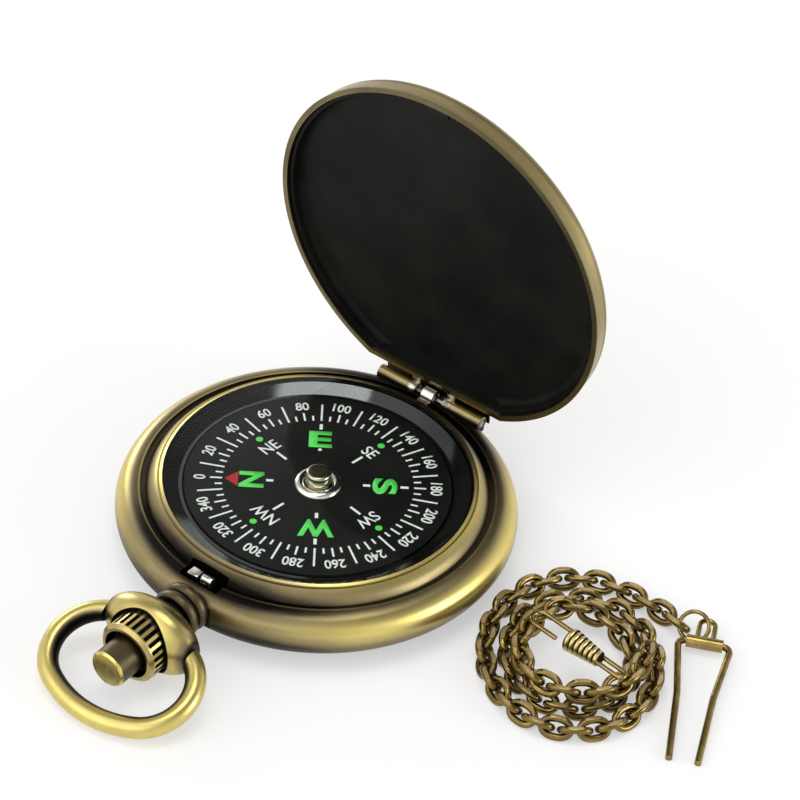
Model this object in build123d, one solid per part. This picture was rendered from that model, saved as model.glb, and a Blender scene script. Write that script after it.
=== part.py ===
"""Pocket compass: brass hunter case with a sprung lid, a floating card, a push crown, a bow and a chain.

The case lies on its back. +Z is up, the pendant points to -Y and the lid hinge is at +Y.
The origin is the centre of the flat on the back. All lengths are millimetres.
"""
import math
import os

from build123d import *

os.makedirs("parts", exist_ok=True)

# Fits and cuts
fit_gap = 0.05  # between pieces that are pressed or snapped together
running_gap = 0.06  # radial, between a shaft and its hole
clear_gap = 0.2  # between pieces that pass each other
cut_overrun = 3.0  # how far a cutter reaches past what it cuts

# Case band, back and bezel
case_radius = 23.5
band_round = 2.86  # radius of the band's half-round section
back_bulge = 1.33  # how far the back stands below the band
back_flat_radius = 9.0
back_thickness = 0.8
back_rim_inset = 0.6  # from the band's section centre in to the back's snap rim
back_rim_width = 1.7
back_rim_height = 0.95
groove_width = 0.7
groove_depth = 0.3
bezel_width = 1.86
bezel_rise = 1.7
bezel_bulge = 0.22  # how far the bezel's slope swells out of a straight cone
bezel_skirt = 0.75
bezel_seat_width = 0.99
lip_thickness = 0.15
lip_overhang = 0.57

# Crystal, seal and the black bowl under it
crystal_thickness = 0.75
crystal_flange = 0.26
crystal_flange_width = 0.85
crystal_rise = 1.73  # from the flange's underside to the inside of the dome
gasket_thickness = 0.2
gasket_width = 0.55
rehaut_width = 1.95
rehaut_rise = 0.7
rehaut_edge = 0.1
bowl_wall = 2.6
bowl_depth = 2.8
bowl_floor_thickness = 1.0
bowl_foot_width = 1.25

# Floating card and its pivot
card_edge_gap = 0.25
card_thickness = 0.3
card_rise = 0.15  # card top above the foot of the conical ring
hub_radius = 2.8
hub_rise = 0.45
post_radius = 1.5
post_rise = 1.85
post_round = 0.35
post_drop = 0.8
post_roof = 0.55
pivot_radius = 0.35
pivot_gap = 0.1
pivot_point = 0.5
magnet_width = 1.1
magnet_height = 0.7
magnet_length = 14.0
magnet_spread = 4.2
north_angle = 216.5  # degrees from +X, where the card comes to rest

# Lid
lid_inset = 0.77  # lid edge inside the widest line of the band
lid_gap = 0.05  # lid edge above the band when shut
lid_side_height = 1.86
lid_taper = 0.27
lid_shoulder_width = 0.86
lid_shoulder_rise = 1.14
lid_dome_rise = 1.7
lid_wall = 0.65
lid_skin = 0.6
lid_chord_back = 1.45  # flat side of the lid inside the hinge axis
liner_setback = 0.45
liner_thickness = 0.35
strike_width = 3.0
strike_reach = 0.75
strike_height = 0.3
lid_open_angle = 84.4

# Lid hinge
hinge_back = 1.55  # hinge axis inside the widest line of the band
hinge_drop = 0.45  # hinge axis below the top of the band
hinge_length = 15.2
hinge_gap_length = 6.4
knuckle_radius = 0.9
hinge_pin_radius = 0.45
knuckle_web = 1.1
pocket_drop = 1.25  # pocket floor below the hinge axis
lid_knuckle_length = 1.1
lid_arm_thickness = 0.5
tongue_width = 1.6
tongue_thickness = 0.22
spring_wire = 0.4
spring_radius = 0.8
spring_pitch = 0.85
spring_turns = 3

# Pendant, crown and push button
pendant_height = 4.8
pendant_seat_gap = 0.2  # between the shut lid and the neck
neck_bead_radius = 2.7
neck_bead_length = 1.35
neck_bead_bulge = 0.3
neck_groove_radius = 1.95
neck_groove_length = 0.2
neck_bead_count = 2
neck_end_radius = 2.2
neck_end_length = 0.6
collar_half_width = 6.4
collar_half_depth = 3.0
collar_half_height = 4.5
collar_flat = 0.6  # cut off each end, where the bow swings
collar_sink = 0.4  # how far the collar is cut back where it sits on the neck
crown_radius = 3.75
crown_length = 3.2
crown_recess_gap = 0.35
crown_recess_depth = 1.8
crown_slot_count = 26
crown_slot_width = 0.46
crown_slot_depth = 0.35
crown_rim = 0.55
crown_bevel = 0.4
crown_mouth_radius = 3.0
crown_mouth_depth = 1.0
button_radius = 2.25
button_reach = 3.2  # beyond the crown's face
button_edge = 0.25
button_stroke = 0.8
button_guide = 1.9  # plain length that stays in the crown
stem_radius = 0.9
clip_radius = 1.5
clip_thickness = 0.3
button_spring_wire = 0.4
button_spring_radius = 1.45
button_spring_pitch = 0.85
button_spring_turns = 3
spring_end_wires = 3  # wire widths of room left for the coil's ends
gap_samples = 200

# Catch in its slot
slot_width = 5.3
slot_wall = 0.25  # between the slot and the bore of the band
slot_length = 2.4
slot_depth = 5.3  # below the top of the bezel lip
catch_width = 3.0
catch_thickness = 0.35
catch_rise = 0.75  # above the top of the band
catch_nose = 1.4
catch_gap = 0.1
catch_foot = 1.3  # below the pendant axis

# Bow
bow_wire = 2.4
bow_half_width = 9.1
bow_half_length = 6.35
bow_centre_reach = 5.0
bow_side_share = 0.866  # side arcs' radius, of the half length
bow_end_angle = 75.0
bow_pin_radius = 0.7
bow_pin_length = 1.3
bow_pivot_ahead = 0.4  # of the collar's centre
bow_floor_gap = 0.03

# Watch chain, lying coiled beside the case
link_length = 4.1
link_width = 2.9
link_wire = 0.85
link_gap = 0.3
link_roll = 45.0  # degrees, to one side and the other in turn
link_bend_steps = 4  # flats on each round end
link_sides = 6
chain_stand_off = 12.6  # from the case's side to the middle of the coil, along X
coil_centre_y = 1.6
coil_half_length = 13.6
coil_half_width = 11.4
coil_long_step = 3.4  # between loops, along the coil's length
coil_short_step = 2.55  # and across it
coil_turns = 2.3  # inwards
climb_turns = 0.35  # the last of them, in which the chain rises on to its own loops
top_turns = 0.65  # on top
top_radius = 7.6
tail_turns = 0.12  # at the outer end, where the chain runs out to the clip
tail_reach = 2.4
coil_angle = -55.0  # long axis of the coil from +X
coil_start_angle = 110.0
floor_gap = 0.03
step_growth_share = 0.002  # how finely the next link's place is sought

# Snap clasp lying on the chain
clasp_wire = 0.56
clasp_hook_length = 5.6
clasp_hook_width = 2.7
clasp_hook_mouth = 1.1
clasp_sleeve_length = 4.5
clasp_sleeve_radius = 1.4
clasp_sleeve_end_radius = 0.85
clasp_rib_count = 7
clasp_rib_depth = 0.14
clasp_rib_shares = (0.25, 0.75)  # where a rib's crest starts and ends
clasp_eye_length = 3.8
clasp_eye_width = 1.65
clasp_shift_x = -0.35  # from the middle of the coil
clasp_shift_y = -1.35
clasp_angle = -6.5

# Belt clip at the chain's outer end
belt_wire = 0.8
belt_leg_length = 17.9
belt_top_width = 6.1
belt_foot_width = 3.2
belt_knee = 8.0  # where the legs bend, from the bar
belt_knee_width = 4.1
belt_bend = 0.9
belt_tube_radius = 0.75
belt_tube_length = 4.2
belt_loop_wire = 0.6
belt_loop_length = 3.1
belt_loop_width = 2.4
belt_ring_wire = 0.5
belt_ring_radius = 1.7
belt_ring_lean = 50.0  # degrees from upright
belt_ring_back = 2.4  # from the bar
belt_ring_side = 1.5  # from the clip's middle, towards the chain
belt_height = 1.32
belt_shift_x = 9.9  # from the middle of the coil
belt_shift_y = 11.4
belt_angle = -64.3  # direction of the legs from +X

# Heights and radii that follow from the sizes above
band_centre_radius = case_radius - band_round
band_mid_height = back_bulge + band_round
band_top = band_mid_height + band_round
groove_floor = band_top - groove_depth
bezel_radius = band_centre_radius - groove_width
bezel_bottom = groove_floor - bezel_skirt
lip_radius = bezel_radius - bezel_width
lip_top = groove_floor + bezel_rise
lip_underside = lip_top - lip_thickness
bezel_bore = lip_radius + lip_overhang
band_bore = bezel_radius - bezel_seat_width
back_rim_radius = band_centre_radius - back_rim_inset
back_rim_top = back_bulge + back_rim_height
crystal_radius = bezel_bore - fit_gap
crystal_top = lip_underside - fit_gap
crystal_bottom = crystal_top - crystal_flange
dome_foot_radius = lip_radius - fit_gap
dome_bore_radius = crystal_radius - crystal_flange_width
dome_inside = crystal_bottom + crystal_rise
dome_outside = dome_inside + crystal_thickness
rehaut_top = crystal_bottom - fit_gap
rehaut_top_radius = crystal_radius - gasket_width
rehaut_foot_radius = dome_bore_radius - rehaut_width
rehaut_foot = rehaut_top - rehaut_rise
bowl_top = rehaut_foot - rehaut_edge
bowl_radius = crystal_radius
bowl_bore = bowl_radius - bowl_wall
bowl_inside = bowl_top - bowl_depth
bowl_bottom = bowl_inside - bowl_floor_thickness
card_top = rehaut_foot + card_rise
card_bottom = card_top - card_thickness
card_radius = rehaut_foot_radius - card_edge_gap
post_top = card_top + post_rise
pivot_tip = post_top - post_roof - pivot_gap
lid_radius = case_radius - lid_inset
lid_edge = band_top + lid_gap
hinge_y = case_radius - hinge_back
hinge_z = band_top - hinge_drop
hinge_axis = Axis((0, hinge_y, hinge_z), (1, 0, 0))
lid_chord = hinge_y - lid_chord_back
pendant_seat = lid_radius + pendant_seat_gap
neck_length = neck_bead_count * (neck_bead_length + neck_groove_length) + neck_end_length
neck_end = pendant_seat + neck_length
collar_centre = neck_end - collar_sink + collar_half_depth
crown_back = collar_centre + collar_half_depth - crown_recess_depth
crown_face = crown_back + crown_length
collar_end = collar_half_width - collar_flat
bow_side_radius = bow_half_length * bow_side_share
bow_side_centre = bow_half_width - bow_side_radius
slot_inner = band_bore + slot_wall
slot_outer = slot_inner + slot_length
slot_floor = lip_top - slot_depth
catch_back = slot_inner + button_stroke + clear_gap
stem_end = catch_back + catch_thickness + catch_gap
button_face = crown_face + button_reach
button_shoulder = crown_back - (button_guide - crown_length)
spring_room = button_spring_turns * button_spring_pitch + spring_end_wires * button_spring_wire
pendant = Location((0, 0, pendant_height), (90, 0, 0))
coil_centre_x = case_radius + chain_stand_off
belt_x = coil_centre_x + belt_shift_x
belt_y = coil_centre_y + belt_shift_y


def at(radius, height):
    """A point of a turned profile."""
    return (radius, 0, height)


def turned(*edges):
    """The solid that a closed profile sweeps round the Z axis."""
    return revolve(Face(Wire(edges)), Axis.Z, 360)


def runs(*points):
    """Straight edges through the given (radius, height) points."""
    return Polyline(*[at(*p) for p in points]).edges()


def disc(radius, bottom, top):
    """An upright cylinder between two heights."""
    return Pos(0, 0, (bottom + top) / 2) * Cylinder(radius, top - bottom)


def dome(radius, foot, top):
    """Arc of a profile, level at the axis, from its top down to a foot."""
    return TangentArc(at(0, top), at(radius, foot), tangent=(1, 0, 0))


def block(x_range, y_range, z_range):
    """A box between two limits on each axis."""
    limits = (x_range, y_range, z_range)
    middle = [(low + high) / 2 for low, high in limits]
    return Pos(*middle) * Box(*[high - low for low, high in limits])


def bar_x(radius, x_range, y, z):
    """A cylinder along X between two limits."""
    low, high = x_range
    return Pos((low + high) / 2, y, z) * Rot(0, 90, 0) * Cylinder(radius, high - low)


def slot_cut():
    """The latch slot's cutter, from the slot floor up and out."""
    half = slot_width / 2
    return block((-half, half), (-slot_outer, -slot_inner), (slot_floor, lip_top + cut_overrun))


def hinge_pocket():
    """The hinge pocket's cutter at the back of the band."""
    half = hinge_length / 2 + clear_gap
    near = hinge_y - max(knuckle_radius, spring_radius + spring_wire / 2) - clear_gap
    far = case_radius + cut_overrun
    return block((-half, half), (near, far), (hinge_z - pocket_drop, band_top + cut_overrun))


def tongue_notch():
    """The cutter that lets the spring's tongue into the pocket."""
    half = tongue_width / 2 + clear_gap
    near = bezel_radius + groove_width / 2
    return block((-half, half), (near, hinge_y), (groove_floor, band_top + cut_overrun))


def case_band():
    """Half-round band with the seats for back and bezel, the slot, the pocket and the pendant's flat."""
    seat = back_rim_radius + fit_gap
    inside = runs(
        (band_centre_radius, back_bulge),
        (seat, back_bulge),
        (seat, back_rim_top + fit_gap),
        (band_bore, back_rim_top + fit_gap),
        (band_bore, bezel_bottom),
        (bezel_radius + fit_gap, bezel_bottom),
        (bezel_radius + fit_gap, groove_floor),
        (band_centre_radius, groove_floor),
        (band_centre_radius, band_top),
    )
    widest = at(case_radius, band_mid_height)
    upper = TangentArc(at(band_centre_radius, band_top), widest, tangent=(1, 0, 0))
    lower = TangentArc(widest, at(band_centre_radius, back_bulge), tangent=(0, 0, -1))
    far = case_radius + cut_overrun
    half = neck_bead_radius + neck_bead_bulge + clear_gap
    flat = block((-half, half), (-far, -pendant_seat), (0, lip_top))
    stem_hole = pendant * disc(stem_radius + running_gap, (slot_inner + slot_outer) / 2, far)
    ring = turned(*inside, upper, lower)
    return ring - flat - stem_hole - slot_cut() - hinge_pocket() - tongue_notch()


def case_back():
    """Snap-on back: a flat to rest on, a shallow dome and a rim inside the band."""
    inner_rim = back_rim_radius - back_rim_width
    bottom = TangentArc(at(back_flat_radius, 0), at(back_rim_radius, back_bulge), tangent=(1, 0, 0))
    inside = TangentArc(
        at(back_flat_radius, back_thickness),
        at(inner_rim, back_bulge + back_thickness),
        tangent=(1, 0, 0),
    )
    return turned(
        *runs((0, back_thickness), (0, 0), (back_flat_radius, 0)),
        bottom,
        *runs(
            (back_rim_radius, back_bulge),
            (back_rim_radius, back_rim_top),
            (inner_rim, back_rim_top),
            (inner_rim, back_bulge + back_thickness),
        ),
        inside,
        *runs((back_flat_radius, back_thickness), (0, back_thickness)),
    )


def bezel_ring():
    """Sloping ring that holds the crystal, with a thin lip over its edge."""
    low = at(bezel_radius, groove_floor)
    high = at(lip_radius, lip_top)
    steep = math.atan2(bezel_width, bezel_rise)
    middle = at(
        (bezel_radius + lip_radius) / 2 + bezel_bulge * math.cos(steep),
        (groove_floor + lip_top) / 2 + bezel_bulge * math.sin(steep),
    )
    ring = turned(
        ThreePointArc(low, middle, high),
        *runs(
            (lip_radius, lip_top),
            (lip_radius, lip_underside),
            (bezel_bore, lip_underside),
            (bezel_bore, bezel_bottom),
            (bezel_radius, bezel_bottom),
            (bezel_radius, groove_floor),
        ),
    )
    return ring - slot_cut()


def crystal():
    """Low glass dome with a thin flange under the bezel's lip."""
    inside = dome(dome_bore_radius, crystal_bottom, dome_inside)
    outside = dome(dome_foot_radius, lip_top, dome_outside)
    return turned(
        inside,
        *runs((0, dome_inside), (0, dome_outside)),
        outside,
        *runs(
            (dome_foot_radius, lip_top),
            (dome_foot_radius, crystal_top),
            (crystal_radius, crystal_top),
            (crystal_radius, crystal_bottom),
            (dome_bore_radius, crystal_bottom),
        ),
    )


def crystal_gasket():
    """Square-section seal under the crystal's flange."""
    low = rehaut_top - gasket_thickness + fit_gap
    inner = rehaut_top_radius + fit_gap
    return disc(crystal_radius, low, rehaut_top) - disc(inner, low - cut_overrun, rehaut_top + cut_overrun)


def rehaut_ring():
    """Black conical ring between the card and the crystal."""
    step = rehaut_top - gasket_thickness
    return turned(
        *runs(
            (rehaut_foot_radius, bowl_top),
            (rehaut_foot_radius, rehaut_foot),
            (dome_bore_radius, rehaut_top),
            (rehaut_top_radius, rehaut_top),
            (rehaut_top_radius, step),
            (crystal_radius, step),
            (crystal_radius, bowl_top),
            (rehaut_foot_radius, bowl_top),
        )
    )


def dial_bowl():
    """Cup under the card, standing on the back's rim."""
    shoulder = bezel_bottom - fit_gap
    wide = band_bore - fit_gap
    foot = wide - bowl_foot_width
    foot_bottom = back_rim_top + fit_gap
    cup = turned(
        *runs(
            (0, bowl_inside),
            (bowl_bore, bowl_inside),
            (bowl_bore, bowl_top),
            (bowl_radius, bowl_top),
            (bowl_radius, shoulder),
            (wide, shoulder),
            (wide, foot_bottom),
            (foot, foot_bottom),
            (foot, bowl_bottom),
            (0, bowl_bottom),
            (0, bowl_inside),
        )
    )
    return cup - disc(pivot_radius, bowl_bottom - cut_overrun, bowl_top)


def pivot_pin():
    """Steel needle that the card turns on."""
    shank = pivot_tip - pivot_point
    return turned(
        *runs(
            (0, bowl_bottom),
            (pivot_radius, bowl_bottom),
            (pivot_radius, shank),
            (0, pivot_tip),
            (0, bowl_bottom),
        )
    )


def compass_card():
    """Thin disc that carries the printed rose."""
    card = disc(card_radius, card_bottom, card_top)
    return card - disc(post_radius + fit_gap, card_bottom - cut_overrun, card_top + cut_overrun)


def card_hub():
    """Bright eyelet round the post, rounded on top."""
    inner = post_radius + fit_gap
    middle = (inner + hub_radius) / 2
    return turned(
        ThreePointArc(at(inner, card_top), at(middle, card_top + hub_rise), at(hub_radius, card_top)),
        *runs((hub_radius, card_top), (inner, card_top)),
    )


def jewel_post():
    """Cap with the bearing that sits on the needle."""
    low = card_bottom - post_drop
    bore = pivot_radius + pivot_gap
    body = disc(post_radius, low, post_top)
    body = fillet(body.edges().sort_by(Axis.Z)[-1], post_round)
    return body - disc(bore, low - cut_overrun, post_top - post_roof)


def card_magnets():
    """Pair of bar magnets under the card, along its north line."""
    half = magnet_length / 2
    bars = []
    for side in (-1, 1):
        middle = side * magnet_spread
        span = (middle - magnet_width / 2, middle + magnet_width / 2)
        bars.append(block((-half, half), span, (card_bottom - magnet_height, card_bottom)))
    return Rot(0, 0, north_angle) * Compound(children=bars)


def lid_form(inset, drop):
    """The shut lid's closed form, taken in by inset at the side and by drop at the top."""
    side = lid_radius - inset
    side_top = lid_edge + lid_side_height
    shoulder = at(side - lid_taper - lid_shoulder_width, side_top + lid_shoulder_rise - drop)
    corner = at(side - lid_taper, side_top - drop)
    edge_share = math.sqrt(0.5)
    bend = at(
        side - lid_taper - lid_shoulder_width * (1 - edge_share),
        side_top - drop + lid_shoulder_rise * edge_share,
    )
    top = shoulder[2] + lid_dome_rise
    return turned(
        *runs((0, lid_edge), (side, lid_edge)),
        Line(at(side, lid_edge), corner),
        ThreePointArc(corner, bend, shoulder),
        dome(shoulder[0], shoulder[2], top),
        *runs((0, top), (0, lid_edge)),
    )


def before(y):
    """Everything on the pendant's side of a plane across Y."""
    reach = case_radius + cut_overrun
    return block((-reach, reach), (-reach, y), (0, 2 * reach))


def opened(shape):
    """Turns a piece of the shut lid about the hinge to where the open lid stands."""
    return shape.rotate(hinge_axis, -lid_open_angle)


def lid_shell():
    """Domed lid with a straight side at the hinge and a small strike for the catch."""
    wall = lid_radius - lid_wall
    mouth = disc(wall, lid_edge - cut_overrun, lid_edge)
    hollow = (lid_form(lid_wall, lid_skin) + mouth) & before(lid_chord - lid_wall)
    shell = (lid_form(0, 0) & before(lid_chord)) - hollow
    half = strike_width / 2
    strike_span = (-wall - fit_gap, -wall + strike_reach)
    strike = block((-half, half), strike_span, (lid_edge, lid_edge + strike_height))
    return opened(shell + strike)


def lid_liner():
    """Black dish pressed into the lid, set back from its edge."""
    outer = lid_form(lid_wall + fit_gap, lid_skin + fit_gap) & before(lid_chord - lid_wall - fit_gap)
    inset = lid_wall + fit_gap + liner_thickness
    inner = lid_form(inset, lid_skin + fit_gap + liner_thickness) & before(lid_chord - inset)
    reach = case_radius + cut_overrun
    edge = block((-reach, reach), (-reach, reach), (0, lid_edge + liner_setback))
    half = strike_width / 2 + clear_gap
    notch = block((-half, half), (-reach, -slot_inner), (0, band_top + catch_rise + clear_gap))
    return opened(outer - notch - edge - inner)


def knuckle_pair(inner, outer, bore):
    """Two hinge tubes, mirrored about the middle."""
    tubes = []
    for low, high in ((-outer, -inner), (inner, outer)):
        tube = bar_x(knuckle_radius, (low, high), hinge_y, hinge_z)
        hole = bar_x(bore, (low - cut_overrun, high + cut_overrun), hinge_y, hinge_z)
        tubes.append((low, high, tube, hole))
    return tubes


def case_knuckles():
    """Outer hinge tubes on their feet in the pocket."""
    half_web = knuckle_web / 2
    solids = []
    bore = hinge_pin_radius + fit_gap
    for low, high, tube, hole in knuckle_pair(hinge_gap_length / 2, hinge_length / 2, bore):
        foot = block((low, high), (hinge_y - half_web, hinge_y + half_web), (hinge_z - pocket_drop, hinge_z))
        solids.append(tube + foot - hole)
    return Compound(children=solids)


def lid_knuckles():
    """Inner hinge tubes with the arms that hold them to the lid's straight side."""
    outer = hinge_gap_length / 2 - fit_gap
    inner = outer - lid_knuckle_length
    bore = hinge_pin_radius + running_gap
    solids = []
    for low, high, tube, hole in knuckle_pair(inner, outer, bore):
        arm = block((low, high), (lid_chord, hinge_y), (lid_edge, lid_edge + lid_arm_thickness))
        solids.append(opened(tube + arm - hole))
    return Compound(children=solids)


def hinge_pin():
    """Steel pin through all four tubes."""
    half = hinge_length / 2
    return bar_x(hinge_pin_radius, (-half, half), hinge_y, hinge_z)


def spring_tongue():
    """Bright strip that lies in the groove and curls up over the lid spring."""
    span = (-tongue_width / 2, tongue_width / 2)
    inner = spring_radius + spring_wire / 2 + clear_gap / 2
    outer = inner + tongue_thickness
    flat_top = groove_floor + tongue_thickness
    flat = block(span, (bezel_radius + fit_gap, hinge_y - inner), (groove_floor, flat_top))
    curl = bar_x(outer, span, hinge_y, hinge_z) & block(span, (0, hinge_y), (groove_floor, hinge_z + outer))
    return flat + curl - bar_x(inner, span, hinge_y, hinge_z)


def helix_edges(points, tangents):
    """Pairs of tangent arcs through the points of a coil."""
    edges = []
    for (p0, t0), (p1, t1) in zip(zip(points, tangents), zip(points[1:], tangents[1:])):
        chord = p1 - p0
        both = t0 + t1
        spread = 2 * (1 - t0.dot(t1))
        reach = (math.sqrt(chord.dot(both) ** 2 + spread * chord.dot(chord)) - chord.dot(both)) / spread
        a = p0 + t0 * reach
        b = p1 - t1 * reach
        joint = (a + b) * 0.5
        edges.append(Edge.make_tangent_arc(p0, t0, joint))
        edges.append(Edge.make_tangent_arc(joint, (b - a).normalized(), p1))
    return edges


def coil_spring(name, radius, wire, pitch, turns, start_angle):
    """A round-wire coil along +Z from the origin, whose ends run on straight for one wire width."""
    quarter_count = 4 * turns
    points, tangents = [], []
    for i in range(quarter_count + 1):
        turn = math.radians(start_angle) + i * math.pi / 2
        points.append(Vector(radius * math.cos(turn), radius * math.sin(turn), pitch * i / 4))
        along = Vector(-radius * math.sin(turn), radius * math.cos(turn), pitch / (2 * math.pi))
        tangents.append(along.normalized())
    first = points[0] - tangents[0] * wire
    last = points[-1] + tangents[-1] * wire
    ends = [Line(first, points[0]).edge(), Line(points[-1], last).edge()]
    path = Wire([ends[0], *helix_edges(points, tangents), ends[1]])
    samples = [path.position_at(i / gap_samples) for i in range(gap_samples + 1)]
    apart = [
        (a - b).length - wire
        for i, a in enumerate(samples)
        for b in samples[i + 1:]
        if abs((a - b).Z) > pitch / 2
    ]
    print(name, "least gap between turns", round(min(apart), 3), "mm")
    section = Plane(origin=first, z_dir=tangents[0]) * Circle(wire / 2)
    return sweep(section, path=path)


def lid_spring():
    """Torsion spring round the hinge pin, in the open middle of the hinge."""
    coil = coil_spring("lid_spring", spring_radius, spring_wire, spring_pitch, spring_turns, 90)
    half = spring_pitch * spring_turns / 2
    return Pos(-half, hinge_y, hinge_z) * Rot(0, 90, 0) * coil


def pendant_neck():
    """Turned neck: round beads parted by grooves, and a spigot in the collar."""
    edges = [*runs((0, pendant_seat), (neck_bead_radius, pendant_seat))]
    height = pendant_seat
    for bead in range(neck_bead_count):
        bead_end = height + neck_bead_length
        edges.append(
            ThreePointArc(
                at(neck_bead_radius, height),
                at(neck_bead_radius + neck_bead_bulge, (height + bead_end) / 2),
                at(neck_bead_radius, bead_end),
            )
        )
        height = bead_end + neck_groove_length
        following = neck_bead_radius if bead + 1 < neck_bead_count else neck_end_radius
        edges += runs(
            (neck_bead_radius, bead_end),
            (neck_groove_radius, bead_end),
            (neck_groove_radius, height),
            (following, height),
        )
    edges += runs((neck_end_radius, height), (neck_end_radius, neck_end), (0, neck_end), (0, pendant_seat))
    neck = turned(*edges)
    bore = disc(stem_radius + running_gap, pendant_seat - cut_overrun, neck_end + cut_overrun)
    return pendant * (neck - bore)


def pendant_collar():
    """Egg-shaped collar with flat ends for the bow and a round recess for the crown."""
    egg = scale(Sphere(1), by=(collar_half_width, collar_half_height, collar_half_depth))
    collar = Pos(0, 0, collar_centre) * egg
    wide = 2 * collar_half_width
    collar &= Pos(0, 0, neck_end + wide / 2) * Box(2 * collar_end, wide, wide)
    recess = disc(crown_radius + crown_recess_gap, crown_back, crown_face)
    spring_bore = disc(button_radius + running_gap, button_shoulder - spring_room, crown_face)
    stem_bore = disc(stem_radius + running_gap, 0, crown_face)
    reach = collar_half_width + cut_overrun
    pin_bore = bar_x(bow_pin_radius + running_gap, (-reach, reach), 0, collar_centre + bow_pivot_ahead)
    middle = 2 * (collar_end - bow_pin_length - fit_gap)
    core = Pos(0, 0, collar_centre) * Box(middle, wide, wide)
    return pendant * (collar - recess - spring_bore - stem_bore - (pin_bore - core))


def crown_sleeve():
    """Knurled crown: round-ended slots between plain rims, and a mouth round the button."""
    sleeve = turned(
        *runs(
            (0, crown_back),
            (crown_radius, crown_back),
            (crown_radius, crown_face - crown_bevel),
            (crown_radius - crown_bevel, crown_face),
            (0, crown_face),
            (0, crown_back),
        )
    )
    sleeve -= disc(button_radius + running_gap, crown_back - cut_overrun, crown_face + cut_overrun)
    sleeve -= disc(crown_mouth_radius, crown_face - crown_mouth_depth, crown_face + cut_overrun)
    slot_run = crown_length - 2 * crown_rim
    middle = at(crown_radius - crown_slot_depth, (crown_back + crown_face) / 2)
    face = Plane(origin=middle, x_dir=(0, 0, 1), z_dir=(1, 0, 0))
    cutter = extrude(face * SlotOverall(slot_run, crown_slot_width), crown_slot_depth + cut_overrun)
    cutters = [Rot(0, 0, 360 / crown_slot_count * i) * cutter for i in range(crown_slot_count)]
    return pendant * (sleeve - cutters)


def push_button():
    """Button and stem in one piece; the stem reaches the catch."""
    return pendant * turned(
        *runs(
            (0, stem_end),
            (stem_radius, stem_end),
            (stem_radius, button_shoulder),
            (button_radius, button_shoulder),
            (button_radius, button_face - button_edge),
            (button_radius - button_edge, button_face),
            (0, button_face),
            (0, stem_end),
        )
    )


def button_clip():
    """Washer pressed on the stem inside the slot, so that the button stays in."""
    inner_end = slot_outer - fit_gap - clip_thickness
    ring = disc(clip_radius, inner_end, slot_outer - fit_gap)
    return pendant * (ring - disc(stem_radius, 0, case_radius))


def button_spring():
    """Return spring round the stem, behind the button's shoulder."""
    coil = coil_spring(
        "button_spring", button_spring_radius, button_spring_wire, button_spring_pitch, button_spring_turns, 0
    )
    base = button_shoulder - spring_room + (spring_room - button_spring_turns * button_spring_pitch) / 2
    return pendant * Pos(0, 0, base) * coil


def latch_catch():
    """Bent steel strip: an upright that the stem pushes, and a nose that holds the lid."""
    top = band_top + catch_rise
    front = catch_back + catch_thickness
    half = catch_width / 2
    foot = pendant_height - catch_foot
    upright = block((-half, half), (-front, -catch_back), (foot, top - catch_thickness))
    nose = block((-half, half), (-front - catch_nose + catch_thickness, -front), (top - catch_thickness, top))
    bend = bar_x(catch_thickness, (-half, half), -front, top - catch_thickness)
    bend &= block((-half, half), (-front, -catch_back), (top - catch_thickness, top))
    return upright + bend + nose


def bow_path(far_centre):
    """Centre line of the bow in its own plane: two side arcs and one long far arc, pivot at the origin."""
    span = math.hypot(bow_side_centre, far_centre)
    touch_x = bow_side_centre + bow_side_radius * bow_side_centre / span
    touch_y = -bow_centre_reach - bow_side_radius * far_centre / span
    end = math.radians(bow_end_angle)
    end_x = bow_side_centre + bow_side_radius * math.cos(end)
    end_y = -bow_centre_reach + bow_side_radius * math.sin(end)
    right = ThreePointArc((end_x, end_y), (bow_half_width, -bow_centre_reach), (touch_x, touch_y))
    far = ThreePointArc((touch_x, touch_y), (0, -bow_centre_reach - bow_half_length), (-touch_x, touch_y))
    left = ThreePointArc((-touch_x, touch_y), (-bow_half_width, -bow_centre_reach), (-end_x, end_y))
    return Wire([right.edge(), far.edge(), left.edge()])


def bow():
    """D-shaped wire bow with flat cut ends and short pivots in the collar, drooping to the table."""
    slack = bow_half_length - bow_side_radius
    far_centre = (bow_side_centre ** 2 - slack ** 2) / (2 * slack)
    path = bow_path(far_centre)
    wire = sweep(Plane(origin=path @ 0, z_dir=path % 0) * Circle(bow_wire / 2), path=path)
    end_x = collar_end + clear_gap
    gap = block((-end_x, end_x), (-bow_centre_reach, bow_centre_reach), (-bow_wire, bow_wire))
    loop = wire - gap
    for side in (-1, 1):
        span = sorted((side * (collar_end - bow_pin_length), side * (end_x + clear_gap)))
        loop += bar_x(bow_pin_radius, span, 0, 0)
    reach = bow_centre_reach + bow_half_length
    droop = math.degrees(math.asin((pendant_height - bow_wire / 2 - bow_floor_gap) / reach))
    return Pos(0, -collar_centre - bow_pivot_ahead, pendant_height) * Rot(droop, 0, 0) * loop


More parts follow.
